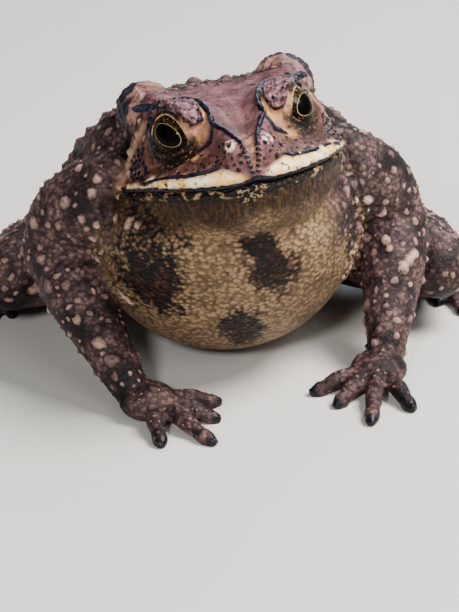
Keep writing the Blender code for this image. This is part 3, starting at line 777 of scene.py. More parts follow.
def sculptCrown(head):
    # The crown sinks between the brows, and the snout's sides sink below the canthal ridges
    x, y, z = head.place.T
    inner = np.interp(y, [-14, -6, -2, 3, 6, 16], [1.0, 3.6, 3.8, 5.6, 9.0, 9.0])
    hollow = smooth(0.3, 3.0, inner - x) * smooth(-12, -5, y) * smooth(14, 7, y) * (z > -1)
    head.lift -= relief["crown"] * hollow
    sunk = np.exp(-(((y + 9.0) / 2.6) ** 2) - ((z + 1.4) / 1.5) ** 2) * smooth(3.0, 5.0, x)
    head.lift -= relief["snoutSides"] * sunk


def sculptLidFolds(head):
    # Fine folds that run round under the eye, and a lid whose back is lower than the ball would make it
    x, y, z = head.place.T
    lidSkin = smooth(0.25, 0.8, head.outside)
    below = head.zone * smooth(0.5, -1.5, head.flat[:, 1]) * (1 - smooth(1.2, 3.2, head.outside))
    head.lift += relief["lidFolds"] * np.sin(head.outside * 7.5) * below * lidSkin
    back = np.exp(-(((x - 9.8) / 3.6) ** 2) - ((y - 4.9) / 2.6) ** 2) * (z > 1.5)
    head.lift -= relief["lidBack"] * back * smooth(0.8, 2.4, head.outside)
    # the share for the dark speckled skin under the eye, which is also painted shade below the eyeball
    head.keep("underEye", below * smooth(2.4, 0.6, head.outside))
    return lidSkin


def sculptCrests(head, lidSkin):
    # Each crest is h / (1 + (d / w)^4) high at distance d from its line, uneven along it; the highest counts
    local = head.local
    crest, ridge = np.full(len(head.near), 9.0), np.zeros(len(head.near))
    gaps = {}
    for name, (width, height, beadsFrom, gapped) in crestSizes.items():
        laid = catmull(headLines[name], 40)
        gaps[name], along = head.gapTo(laid)
        length = np.linalg.norm(np.diff(laid, axis=0), axis=1).sum()
        gap = gaps[name] + 0.06 * ripple(local, 1.3, 5) + 0.04 * ripple(local, 0.6, 6)
        ends = smooth(0, 0.04, along) * smooth(0, 0.05, 1 - along) * 0.5 + 0.5
        beads = 0.5 + 0.5 * np.cos(2 * np.pi * along * length / beadPitch)
        row = smooth(beadsFrom - 0.04, beadsFrom + 0.04, along)
        whole = 1 - row * (1 - smooth(0.0, 0.3, beads))
        if gapped:
            whole = whole * smooth(-1.0, -0.7, ripple(local, 2.4, 8))
        low = 1 - 0.4 * smooth(0.66, 0.86, along) * (name == "brow")
        uneven = 1 + 0.14 * ripple(local, 1.1, 7)
        rise = height * low * ends * whole * uneven / (1 + (gap / (width * 0.82)) ** 4)
        ridge = np.maximum(ridge, rise)
        crest = np.minimum(crest, gap - width * ends + (1 - whole) * 1.5)
    head.lift += ridge * lidSkin
    head.keep("crestGap", crest)
    return gaps["brow"]


def sculptMouth(head):
    # Bell-shaped bands by the distance from the mouth's edge, above zero on the upper lip: a groove, a
    # dark cord over it and the two lips; then the fold behind the jaw
    local = head.local
    x, y, z = head.place.T
    corner = skull["mouthCorner"]
    gap, along = head.gapTo(mouthLine(corner))
    signed = np.where(z - mouthLevel(y, x) > 0, gap, -gap)
    inMouth = smooth(corner + 1, corner - 0.5, y)
    head.lift -= relief["mouthGroove"] * bell(signed + 0.2, 0.22) * inMouth
    cord = relief["mouthCord"] * (1 + 0.25 * ripple(local, 0.8, 11)) * bell(signed - 0.38, 0.3)
    swell = cord + relief["upperLip"] * bell(signed - 1.3, 0.6) + relief["lowerLip"] * bell(signed + 1.0, 0.5)
    head.lift += inMouth * swell

    signed = signed + 0.06 * ripple(local, 1.0, 12) + 0.04 * ripple(local, 0.45, 13)
    ofJaw = head.ofHead & (y < corner - 0.5)
    head.keep("lipGap", np.where(ofJaw, signed, 9.0))
    head.keep("lipLine", np.where(ofJaw, np.abs(signed - 0.15) - 0.5 - 0.1 * bell(x, 2.2), 9.0))
    top = np.interp(x, [p[0] for p in lipTop], [p[1] for p in lipTop])
    band = np.minimum(signed - 0.5, top - z + 0.25 * ripple(local, 2.6, 3)) - 3 * smooth(5.5, 7.5, y)
    head.keep("lipBand", np.where(ofJaw, band, -9.0))
    head.keep("lipMiddle", bell(x, 1.8))
    lower = smooth(-0.2, -0.4, signed) * ofJaw * smooth(corner - 0.8, corner - 2.5, y)
    head.keep("lowerLip", lower * smooth(-1.8, -1.5, signed))
    head.keep("lowerEdge", lower * smooth(-2.05, -1.85, signed) * smooth(-1.35, -1.6, signed))
    head.keep("chin", lower * smooth(-3.0, -2.4, signed) * bell(local[:, 0] + 1.3, 2.1))

    gap, along = head.gapTo(catmull(headLines["jawFold"], 24))
    head.lift -= relief["jawFold"] * bell(gap, 1.2) * smooth(0, 0.2, along) * smooth(0, 0.3, 1 - along)


def sculptPads(head, browGap):
    # The rough pad on the upper lid with its rim, knobs and groove, and the smooth ochre skin round it
    local = head.local
    gap, along = lineDistance(head.place, catmull(headLines["pad"], 24))
    half = np.interp(along, np.linspace(0, 1, len(padHalf)), padHalf)
    edge = np.minimum(half + 0.2 * ripple(local, 1.5, 21) - gap, head.outside - 0.5)
    edge = np.minimum(edge, browGap - 0.62)
    onPad = smooth(-0.05, 0.3, edge)
    knobs = np.clip(ripple(local, 1.0, 31), 0, 1) + 0.6 * np.clip(ripple(local, 0.55, 32), 0, 1)
    thick = relief["pad"] + relief["padFront"] * smooth(0.8, -2.4, head.place[:, 1])
    head.lift += onPad * (thick + relief["padKnobs"] * knobs + relief["padRim"] * bell(edge - 0.35, 0.28))
    head.lift -= relief["padGroove"] * bell(edge + 0.45, 0.35) * (head.outside > 0.45) * (gap < 3.5)
    head.keep("padEdge", edge)
    margin, _ = lineDistance(head.place, headLines["lidMargin"])
    groove, _ = lineDistance(head.place, headLines["lidGroove"])
    smoothSkin = np.maximum(1 - smooth(0.4, 1.1, margin), 1 - smooth(0.9, 1.7, groove))
    head.keep("ochre", smoothSkin * (1 - onPad))
    head.keep("rimGap", head.outside)
    # the dark speckled skin of the upper lid between opening and pad, partly painted shade under the pad's
    # overhang
    upper = head.zone * smooth(-0.6, 0.6, head.flat[:, 1]) * (1 - smooth(1.0, 1.5, head.outside))
    upper = upper * (1 - smooth(1.6, 2.8, head.flat[:, 0]))
    head.keep("upperLid", upper * (1 - onPad))


def sculptNostrilsAndEars(head):
    # A ringed mound with a pit for each nostril, and a sunk disc with a rim for each eardrum
    local = head.local
    x, y, z = head.place.T
    gap = head.gapTo(nostril["seat"])[0] + 0.06 * ripple(local, 1.2, 17)
    ring, mound = bell(gap - nostril["ring"], 0.26), bell(gap, 1.5)
    head.lift += relief["nostrilRing"] * ring + relief["nostrilMound"] * mound
    head.lift -= relief["nostrilPit"] * (1 - smooth(0.12, nostril["pit"] + 0.1, gap))
    head.keep("nostrilGap", gap)

    radius = eardrum["radius"]
    gap = head.gapTo(eardrum["seat"])[0] + 0.1 * ripple(local, 2.5, 18)
    head.lift -= relief["ear"] * (1 - smooth(radius - 0.7, radius, gap))
    head.lift += relief["earRim"] * bell(gap - radius - 0.1, 0.35)
    head.keep("earGap", gap - radius)
    # the head's sides below a sloping level are darker, partly the skin's own tone and partly painted shade
    head.keep("snout", smooth(0.6, -1.6, z - 0.25 * (y + 6)) * smooth(1.6, 3.2, x))
    head.keep("bridge", bell(x, 1.25) * smooth(-8.5, -10.5, y) * smooth(-5.5, -4.0, z))


def sculptHead(head):
    # All that stands out or sinks on the head; nothing rises at the edge of the eye's opening
    sculptCrown(head)
    lidSkin = sculptLidFolds(head)
    browGap = sculptCrests(head, lidSkin)
    sculptMouth(head)
    sculptPads(head, browGap)
    sculptNostrilsAndEars(head)
    print("head sculpted")
    return head.lift * smooth(0.05, 0.45, head.outside)


mostWarts = 6000


class Warts:
    # Places warts on the skin and raises them; the tree holds warped places, so that outlines are uneven
    def __init__(self, points, seed, warp):
        self.points = points
        bend = np.column_stack([ripple(points, 2.6, seed + k) for k in range(3)])
        small = np.column_stack([ripple(points, 0.9, seed + 9 + k) for k in range(3)])
        self.warped = points + warp * (0.24 * bend + 0.06 * small)
        self.tree = KDTree(len(points))
        for index, point in enumerate(self.warped):
            self.tree.insert(point, index)
        self.tree.balance()
        self.rng = np.random.default_rng(seed)
        self.places = np.full((mostWarts, 3), 1e6)
        self.reaches = np.zeros(mostWarts)
        self.count = 0
        self.lift = np.zeros(len(points))
        self.dome = np.zeros(len(points))
        self.tone = np.zeros(len(points))

    def claim(self, place, radius):
        # Keeps the place for one wart, so that those after it stay clear
        self.places[self.count], self.reaches[self.count] = place, radius
        self.count += 1

    def put(self, place, radius, height, tone, point=0.0):
        # A dome (1 - (d / r)^2)^1.4 high at distance d from the middle, with a small peak on it
        close = self.tree.find_range(Vector(place), radius * 1.2)
        index = np.array([c[1] for c in close], int)
        if len(index) == 0:
            return
        share = np.array([c[2] for c in close]) / radius
        self.lift[index] += (height * radius + 0.05) * np.clip(1 - share**2, 0, 1) ** 1.4
        self.lift[index] += point * radius * bell(share, 0.3)
        higher = (1.2 - share) > self.dome[index]
        self.dome[index[higher]] = (1.2 - share)[higher]
        self.tone[index[higher]] = tone

    def scatter(self, weight, count, radii, spread, height, tones, point=0.0):
        # Random places, likelier where the weight is high, each clear of those before it
        if weight.sum() <= 0:
            return
        picks = self.rng.choice(len(self.points), size=count * 10, p=weight / weight.sum())
        sizes = self.rng.uniform(radii[0] ** 0.5, radii[1] ** 0.5, size=count * 10) ** 2
        tone = self.rng.uniform(*tones, size=count * 10)
        made = 0
        for index, radius, shade in zip(picks, sizes, tone):
            place = self.warped[index]
            n = self.count
            near = np.abs(self.places[:n, 0] - place[0]) < 6
            gap = np.linalg.norm(self.places[:n][near] - place, axis=1)
            if (gap < (self.reaches[:n][near] + radius) * spread).any():
                continue
            self.claim(place, radius)
            self.put(place, radius, height, shade, point)
            made += 1
            if made >= count or self.count >= mostWarts:
                break


def wrinkles(points, centre, way, spacing, reach, depth, seed):
    # Fine folds across a direction, fading with distance from a joint
    away = points - centre
    along = away @ unit(np.array(way, float)) + 0.5 * ripple(points, 6, seed)
    fade = bell(np.linalg.norm(away, axis=1), reach)
    return -depth * fade * (0.5 + 0.5 * np.cos(2 * np.pi * along / spacing)) ** 2


# Pale warts and dark patches that the photograph shows, where the camera's rays meet the skin
placedWarts = (
    # middle in the head's frame, radius, height over radius, tone
    ((17.7, 4.7, -16.2), 1.0, 0.4, 0.6), ((20.9, 8.7, -20.2), 1.3, 0.42, 1.0),
    ((23.2, 12.4, -23.8), 1.1, 0.42, 1.0), ((22.7, 11.7, -27.1), 1.0, 0.4, 0.9),
    ((19.1, 7.2, -18.6), 1.0, 0.42, 0.9), ((19.5, 10.2, -22.4), 0.8, 0.4, 0.7),
    ((23.0, 10.8, -28.5), 0.9, 0.4, 0.8), ((25.6, 10.0, -30.9), 1.3, 0.3, 1.0),
    ((24.4, 9.2, -31.8), 1.2, 0.3, 1.0), ((26.4, 10.7, -30.4), 1.2, 0.3, 1.0),
    ((-21.2, 4.4, -12.2), 0.9, 0.4, 0.8), ((-18.2, -0.7, -12.4), 0.9, 0.4, 0.7),
    ((-23.5, 7.9, -8.7), 1.1, 0.42, 0.8), ((-21.8, 8.4, -6.1), 0.9, 0.4, 0.7),
    ((-19.0, 8.8, -26.4), 1.4, 0.3, 1.0), ((-19.7, 9.0, -25.3), 1.2, 0.3, 1.0),
    ((-18.3, 8.2, -8.8), 0.7, 0.5, 1.0), ((-18.3, 8.0, -10.6), 0.6, 0.5, 1.0),
    ((-18.5, 1.5, -13.0), 1.1, 0.35, 0.8), ((-2.0, 21.8, 2.2), 1.7, 0.6, 0.1),
    ((3.2, 21.8, 2.4), 1.6, 0.6, 0.1), ((-4.4, 11.6, 3.8), 0.8, 0.5, 0.1),
    ((1.7, 12.6, 3.8), 0.9, 0.5, 0.1),
)
darkPatches = (
    # middle and half axes in the head's frame, and how dark; dark blotches below the mouth, the two at X -16
    # on the right side partly painted shade
    ((-0.6, -5.4, -17.5), (2.6, 6.0, 3.0), 1.0),
    ((1.4, -4.0, -22.6), (3.7, 6.0, 5.0), 1.0),
    ((-16.5, 2.0, -23.0), (5.4, 10.0, 5.6), 0.95),
    ((-16.0, 0.0, -15.0), (5.0, 9.0, 6.0), 0.62),
    ((-3.2, 2.0, -36.5), (3.6, 8.0, 6.0), 0.9),
    ((17.5, 3.0, -20.0), (3.4, 8.0, 7.0), 0.85),
)


def patches(local):
    # Each patch fades out between 0.55 and 1.45 of its half axes, moved by waves; the darkest counts
    total = np.zeros(len(local))
    wave = 0.22 * ripple(local, 6, 51) + 0.16 * ripple(local, 2.4, 52) + 0.08 * ripple(local, 1.1, 53)
    for centre, half, depth in darkPatches:
        size = np.linalg.norm((local - centre) / half, axis=1) + wave
        total = np.maximum(total, depth * (1 - smooth(0.55, 1.45, size)))
    return total


# What the skin's points carry for the paint: shares from 0 to 1, or millimetres for those far off by default
fieldNames = (
    "crestGap", "lipGap", "lipLine", "lipBand", "lipMiddle", "padEdge", "ochre", "rimGap", "underEye",
    "nostrilGap", "earGap", "bead", "wart", "wartTone", "gland", "throat", "under", "patch", "head",
    "toeTip", "stripe", "shade", "glandShade", "lowerLip", "lowerEdge", "chin", "snout", "bridge", "upperLid",
)
farAway = {
    "crestGap": 9.0, "lipGap": 9.0, "lipLine": 9.0, "rimGap": 9.0, "nostrilGap": 9.0, "earGap": 9.0,
    "lipBand": -9.0, "padEdge": -9.0,
}


def soften(values, pairs, rounds=1):
    # Each round gives every point the mean of itself and its neighbours' mean
    for _ in range(rounds):
        values = 0.5 * values + 0.5 * neighbourMean(values[:, None], pairs, len(values))[:, 0]
    return values


def nearHead(points):
    # Indices of the points in a box round the head
    local = toHead(points)
    return np.flatnonzero((local[:, 1] < 19) & (local[:, 2] > -20) & (np.abs(local[:, 0]) < 22))


def refineSkin(made, part):
    # Smooths where the pieces meet, sinks the sockets, and halves the mesh's steps, first on the head
    points = coordinates(made.data)
    pairs = edgePairs(made.data)
    weight = np.where(np.isin(part, (handPart, footPart)), 0.25, 1.0)
    weight = np.where(part == lidPart, 0.5, weight)
    points = relax(points, pairs, soften(weight, pairs), skin["creaseRounds"])
    points = sinkSockets(points, nearHead(points))
    points = relax(points, pairs, np.full(len(points), 0.6), 2)
    setCoordinates(made.data, points)
    for step in range(2):
        x, y, z = toHead(points).T
        chosen = np.isin(part, (skullPart, lidPart, glandPart)) & (y < 17) & (z > -13)
        chosen |= (np.abs(x) < 20) & (y < 9) & (z > -10.5) & (y > -20)
        part = refine(made, part, chosen if step == 0 else np.ones(len(part), bool))
        points = coordinates(made.data)
        pairs = edgePairs(made.data)
        weight = np.where(np.isin(part, (handPart, footPart)), 0.2, 0.5)
        points = relax(points, pairs, weight, 2)
        setCoordinates(made.data, points)
        print("refined skin", len(points))
    near = nearHead(points)
    points, weight = drawLids(points, near)
    spread = np.zeros(len(points))
    spread[near] = weight
    points = relax(points, pairs, spread, 3)
    setCoordinates(made.data, points)
    return part, points, pairs


beadKinds = (
    # where, how many, radii, spread, height over radius
    ("cheek", 90, (0.36, 0.5), 0.98, 0.75),
    ("nose", 18, (0.28, 0.42), 1.15, 0.7),
    ("snout", 40, (0.2, 0.38), 1.5, 0.7),
)
wartKinds = (
    # where, how many, radii, spread, height over radius, tones from dull to pale, height of the peak
    ("rows", 54, (1.0, 1.8), 1.3, 0.38, (0.05, 0.4), 0.12),
    ("limbTops", 50, (0.8, 1.3), 1.4, 0.36, (0.2, 0.8), 0.12),
    ("back", 460, (0.45, 0.95), 1.15, 0.42, (0.0, 0.5), 0.16),
    ("flank", 220, (0.5, 1.0), 1.1, 0.4, (0.2, 0.9), 0.12),
    ("limbs", 520, (0.4, 0.85), 1.1, 0.4, (0.0, 0.8), 0.14),
    ("cheekBack", 60, (0.3, 0.6), 1.1, 0.4, (0.0, 0.6), 0.1),
    ("nape", 26, (0.4, 0.8), 1.5, 0.38, (0.0, 0.3), 0.12),
    ("crown", 60, (0.25, 0.5), 1.5, 0.28, (0.0, 0.2), 0.0),
    ("gland", 110, (0.45, 0.85), 1.0, 0.26, (0, 1), 0.0),
    ("digits", 260, (0.25, 0.42), 1.15, 0.35, (0.0, 0.5), 0.0),
)
folds = {
    # spacing, reach and depth in millimetres
    "elbow": (1.5, 5.0, 0.3),
    "wrist": (1.1, 3.4, 0.25),
    "knee": (1.6, 5.5, 0.3),
    "ankle": (1.3, 4.5, 0.28),
    "shoulder": (1.9, 8.0, 0.42),
    "groin": (2.0, 8.0, 0.4),
}


class BodySkin:
    # The refined skin: its points in the frames of body and head, the part each is of, and its fields
    def __init__(self, mesh, part, points, pairs):
        self.part, self.points, self.pairs = part, points, pairs
        self.normals = coordinates(mesh, "normal")
        self.surface = Surface(mesh)
        self.local = toHead(self.points)
        self.mirror = overLeft(self.points)[0]
        self.body = toTrunk(self.points)
        self.up = self.normals[:, 2]
        self.aboveMouth = self.local[:, 2] > mouthLevel(self.local[:, 1], self.local[:, 0])
        self.ofHead = np.isin(part, (skullPart, lidPart)) & self.aboveMouth
        self.fields = {name: np.full(len(part), farAway.get(name, 0.0)) for name in fieldNames}
        self.lift = np.zeros(len(part))

    def isPart(self, *numbers):
        # Which points belong to one of these parts
        return np.isin(self.part, numbers)


def markHead(body):
    # Shares for the head's colours, the glands with painted shade on their outer and back faces, and the
    # stripe and shade behind the eyes
    fields, local, mirror = body.fields, body.local, body.mirror
    fields["head"] = soften(body.ofHead.astype(float) * smooth(13.5, 9.5, local[:, 1]), body.pairs, 3)
    fields["gland"] = soften(body.isPart(glandPart).astype(float), body.pairs, 2)
    # painted shade over the outer and back faces of each gland, its edge made uneven by waves
    onGland = (mirror - gland["seat"]) / gland["half"]
    fields["glandShade"] = smooth(-0.1, 0.18, onGland @ (0.7, 0.9, 0.0) + 0.14 * ripple(local, 2.8, 46))
    fields["stripe"] = bell(lineDistance(mirror, headLines["stripe"])[0], 0.9)
    # painted shade on the outer front of the gland, down towards the eardrum
    hollow = np.linalg.norm((mirror - (15.3, 9.4, 0.6)) / (2.6, 4.2, 2.7), axis=1)
    fields["shade"] = 1 - smooth(0.6, 1.15, hollow + 0.15 * ripple(local, 3, 44))


def calmSkin(fields):
    # Where no crest, lip, pad, eye, nostril or ear is in the way of warts
    quiet = (fields["crestGap"] < 0.15) | (fields["lipBand"] > -0.3) | (np.abs(fields["lipGap"]) < 1.5)
    quiet |= (fields["padEdge"] > -0.5) | (fields["rimGap"] < 0.9)
    quiet |= (fields["nostrilGap"] < 1.0) | (fields["earGap"] < 0.2)
    return (~quiet) & (fields["ochre"] < 0.4)


def addBeads(body, calm):
    # Shiny dark beads behind and below the eye, and along the snout above the lip
    mirror, fields = body.mirror, body.fields
    beads = Warts(body.points, 7, 0.2)
    clear = calm & (fields["rimGap"] > 2.2)
    cheek = np.linalg.norm((mirror - (15.2, 1.4, -5.0)) / (2.9, 4.6, 3.1), axis=1) < 1
    cheek = cheek & (fields["stripe"] < 0.4)
    nose = np.linalg.norm(mirror - (3.6, -12.4, -1.8), axis=1) < 3.0
    snout = (mirror[:, 1] < -1) & (mirror[:, 2] < -2.0) & (mirror[:, 0] > 1.6)
    where = {"cheek": cheek, "nose": nose, "snout": snout}
    for name, count, radii, spread, height in beadKinds:
        beads.scatter(clear & where[name] & body.ofHead, count, radii, spread, height, (1, 1))
    print("beads", beads.count)
    fields["bead"] = beads.dome
    body.lift += beads.lift


def addWarts(body, calm):
    # The placed warts first, then each kind where it grows
    local, mirror, up, points = body.local, body.mirror, body.up, body.points
    warts = Warts(points, 7, 1.0)
    for middle, radius, height, tone in placedWarts:
        place = body.surface.snap(fromHead([middle]))[0]
        warts.put(place, radius, height, tone)
        warts.claim(place, radius)

    limb = body.isPart(armPart, forearmPart, thighPart, shankPart)
    chest = (np.abs(body.body[:, 0]) < 19) & (points[:, 1] < 3) & ~body.aboveMouth
    underHead = (mirror[:, 0] < 15) & (local[:, 1] < 11) & (local[:, 2] > -8)
    back = body.isPart(trunkPart) & (up > -0.15) & ~underHead & ~chest
    sideOf = body.isPart(trunkPart, skullPart) & (up > -0.5) & (up < 0.35) & (local[:, 1] > 6) & ~chest
    nape = body.isPart(skullPart) & (local[:, 1] > 11) & body.aboveMouth & (mirror[:, 0] < 13)
    where = {
        "rows": calm * back * (1.2 - bell(body.body[:, 0], 7)),  # fewer along the spine
        "limbTops": calm * limb * (up > -0.3),
        "back": calm * back,
        "flank": calm * sideOf,
        "limbs": calm * limb * (up > -0.6),
        "cheekBack": calm * (body.ofHead & (mirror[:, 1] > 4) & (mirror[:, 2] < 1)),
        "nape": calm * nape,
        "crown": calm * (body.ofHead & (up > 0.2) & (mirror[:, 0] < 12)),
        "gland": body.fields["gland"] > 0.5,
        "digits": body.isPart(handPart, footPart) * (up > 0.1),
    }
    for name, *kind in wartKinds:
        warts.scatter(where[name], *kind)
    print("warts", warts.count)
    body.fields["wart"] = warts.dome
    body.fields["wartTone"] = warts.tone
    body.lift += warts.lift


def foldSkin(body):
    # Folds at the joints, over the shoulders and in the groins, and a slow unevenness over the back
    notTrunk = ~body.isPart(trunkPart)
    for side in sides:
        shoulder, elbow, wrist = (np.array(limbs[k][side]) for k in ("shoulder", "elbow", "wrist"))
        knee, ankle = (fromTrunk(onSide(limbs[k], side)) for k in ("knee", "ankle"))
        groin = fromTrunk(onSide(np.array(limbs["hip"]) + (8, -13, -2), side))
        for n, (name, centre, way, where) in enumerate((
            ("elbow", elbow, wrist - elbow, notTrunk),
            ("wrist", wrist, wrist - elbow, notTrunk),
            ("knee", knee, ankle - knee, notTrunk),
            ("ankle", ankle, knee - ankle, notTrunk),
            ("shoulder", shoulder + onSide((3, -5, -6), side), (0.3, 0.2, 1), 1),
            ("groin", groin, (0.2, 1, 0.3), 1),
        )):
            body.lift += wrinkles(body.points, centre, way, *folds[name], 60 + n) * where
    body.lift += 0.22 * ripple(body.points, 7, 71) * body.isPart(trunkPart) * smooth(-0.2, 0.4, body.up)


def markUnderside(body, digits):
    # Shares for belly and chest, throat and dark patches, and for the dark ends of fingers and toes
    fields, local, points = body.fields, body.local, body.points
    low = body.isPart(trunkPart, skullPart)
    under = soften(smooth(0.3, -0.25, body.up) * low * ~body.aboveMouth, body.pairs, 4)
    chest = low * ~body.aboveMouth * smooth(20, 15, np.abs(body.body[:, 0])) * smooth(4, -2, points[:, 1])
    fields["under"] = np.maximum(under, soften(chest.astype(float), body.pairs, 6))
    # the throat's band under the jaw, whose near-black ground is partly painted shade
    edge = local[:, 2] + 1.2 * ripple(local, 8, 33) + 0.5 * ripple(local, 2, 34)
    fields["throat"] = smooth(-17.0, -11.0, edge) * ~body.aboveMouth * (local[:, 1] < 9)
    fields["patch"] = patches(local) * (~body.aboveMouth)
    for path in digits:
        gap = np.linalg.norm(points - path[-1], axis=1)
        fields["toeTip"] = np.maximum(fields["toeTip"], 1 - smooth(0.7, 1.7, gap))


def countTriangles(mesh):
    return sum(len(p.vertices) - 2 for p in mesh.polygons)


def sculptSkin(made, part, digits):
    # Raises each point along its normal by the sum of all reliefs, keeps the fields as attributes, and thins
    part, points, pairs = refineSkin(made, part)
    body = BodySkin(made.data, part, points, pairs)
    near = nearHead(body.points)
    head = HeadSkin(body.points, near, np.isin(part, (skullPart, lidPart)), body.surface, body.fields)
    body.lift[near] = sculptHead(head)
    markHead(body)
    calm = calmSkin(body.fields)
    addBeads(body, calm)
    addWarts(body, calm)
    foldSkin(body)
    markUnderside(body, digits)

    points = body.points + body.normals * body.lift[:, None]
    points[:, 2] = np.maximum(points[:, 2], 0.0)
    setCoordinates(made.data, points + shift)
    body.fields.pop("lipGap")  # only the warts' places needed it
    for name, values in body.fields.items():
        layer = made.data.attributes.new(name, "FLOAT", "POINT")
        layer.data.foreach_set("value", values.astype(np.float32))
    triangles = countTriangles(made.data)
    if triangles > skin["limit"]:
        # thinned while still in millimetres: in metres the errors are too small for it to compare
        change = made.modifiers.new("thin", "DECIMATE")
        change.ratio = skin["limit"] / triangles
        settle(made)
    setCoordinates(made.data, coordinates(made.data) * mm)
    made.data.shade_smooth()
    print("skin triangles", triangles, "thinned to", countTriangles(made.data))
    return made


def linear(hexColour):
    # sRGB hex to linear red, green and blue
    channels = [int(hexColour[i : i + 2], 16) / 255 for i in (1, 3, 5)]
    return tuple(c / 12.92 if c <= 0.04045 else ((c + 0.055) / 1.055) ** 2.4 for c in channels) + (1.0,)


def addNode(tree, kind, settings=None, links=None):
    # Adds a node, sets its properties, and fills inputs by value or from another node's output
    node = tree.nodes.new(kind)
    for name, value in (settings or {}).items():
        setattr(node, name, value)
    for name, value in (links or {}).items():
        if isinstance(value, bpy.types.NodeSocket):
            tree.links.new(value, node.inputs[name])
        else:
            node.inputs[name].default_value = value
    return node


def freshMaterial(name):
    # An empty material with one Principled shader
    material = bpy.data.materials.new(name)
    material.use_nodes = True
    tree = material.node_tree
    tree.nodes.clear()
    output = addNode(tree, "ShaderNodeOutputMaterial")
    shader = addNode(tree, "ShaderNodeBsdfPrincipled")
    tree.links.new(shader.outputs[0], output.inputs["Surface"])
    return material, tree, shader


class Paint:
    # Short names for the nodes that a painted pattern is made of
    def __init__(self, tree):
        self.tree = tree
        self.place = addNode(tree, "ShaderNodeTexCoord").outputs["Object"]

    def field(self, name):
        return addNode(self.tree, "ShaderNodeAttribute", {"attribute_name": name}).outputs["Fac"]

    def noise(self, size, detail=3.0, rough=0.55, place=None):
        # Noise whose coarsest lumps are about this many millimetres across
        links = {"Vector": place or self.place, "Scale": 1000.0 / size, "Detail": detail, "Roughness": rough}
        return addNode(self.tree, "ShaderNodeTexNoise", None, links).outputs["Fac"]

    def cells(self, size, place=None):
        # Distance from the middle of cells about this many millimetres across
        links = {"Vector": place or self.place, "Scale": 1000.0 / size}
        return addNode(self.tree, "ShaderNodeTexVoronoi", None, links).outputs["Distance"]

    def stretched(self, scale):
        # The same place with each axis scaled, for patterns that run one way
        links = {"Vector": self.place, "Scale": scale}
        return addNode(self.tree, "ShaderNodeMapping", None, links).outputs[0]

    def ramp(self, value, low, high, start=0.0, stop=1.0):
        # start where the value is low, stop where it is high, straight between
        links = {"Value": value, "From Min": low, "From Max": high, "To Min": start, "To Max": stop}
        return addNode(self.tree, "ShaderNodeMapRange", {"clamp": True}, links).outputs[0]

    def maths(self, operation, first, second=0.0):
        node = addNode(self.tree, "ShaderNodeMath", {"operation": operation}, {0: first, 1: second})
        return node.outputs[0]

    def times(self, first, second):
        return self.maths("MULTIPLY", first, second)

    def plus(self, first, second):
        return self.maths("ADD", first, second)

    def most(self, *values):
        total = values[0]
        for value in values[1:]:
            total = self.maths("MAXIMUM", total, value)
        return total

    def mix(self, share, under, over):
        # One colour over another by a share; the node's colour sockets are numbers 6 and 7
        node = addNode(self.tree, "ShaderNodeMix", {"data_type": "RGBA"})
        for socket, value in ((node.inputs[0], share), (node.inputs[6], under), (node.inputs[7], over)):
            if isinstance(value, bpy.types.NodeSocket):
                self.tree.links.new(value, socket)
            else:
                socket.default_value = value
        return node.outputs[2]


skinPaint = {
    "colours": {
        "crown": "#5c3b40", "crownLight": "#885d5f", "crownDeep": "#2a1616",
        "snout": "#4a2c26", "snoutLight": "#7b5346",
        "body": "#38282b", "bodyLight": "#83645f", "bodyDeep": "#0d0709",
        "wart": "#c4a08e", "wartDull": "#523b3d", "wartTip": "#1a0f0e",
        # the crest's light colour is a painted highlight on the tops of crests, beads and the lip's cord
        "crest": "#090914", "hornHighlight": "#2e304a",
        "lip": "#f0c870", "lipPale": "#fff4d8", "lipBrown": "#5c3722", "underLip": "#917b55",
        "ochre": "#a5775a", "ochreLight": "#c99a55", "ochreDeep": "#3a2013", "stripe": "#ab8465",
        "pad": "#50343a", "padLight": "#8c666c", "padPit": "#100a10",
        # the gland's two darkest colours are painted shade for its outer and back faces
        "gland": "#67453e", "glandLight": "#a07a6c", "glandShade": "#37313f", "glandShadeDeep": "#16121a",
        "throat": "#120600", "throatStreak": "#42260c", "underPale": "#8f7557", "underBrown": "#3f2b1a",
        "patch": "#060201", "patchLight": "#44210f", "speck": "#6e4c2c", "nostril": "#e6cbbb",
        # hollow is painted shade: near black in the nostrils' pits and where the skin tucks in behind the
        # eyeballs
        "lid": "#24140e", "lidRim": "#c8a070", "hollow": "#070505",
    },
    "roughness": (0.66, 0.46),  # varnish over the skin, from its hollows to its tops
    "hornRoughness": 0.33,  # crests, beads, the lip's cord and the ends of fingers and toes
    "specular": 0.2,
    "bump": 0.8,
    "bumpDepth": 0.25,  # millimetres
}


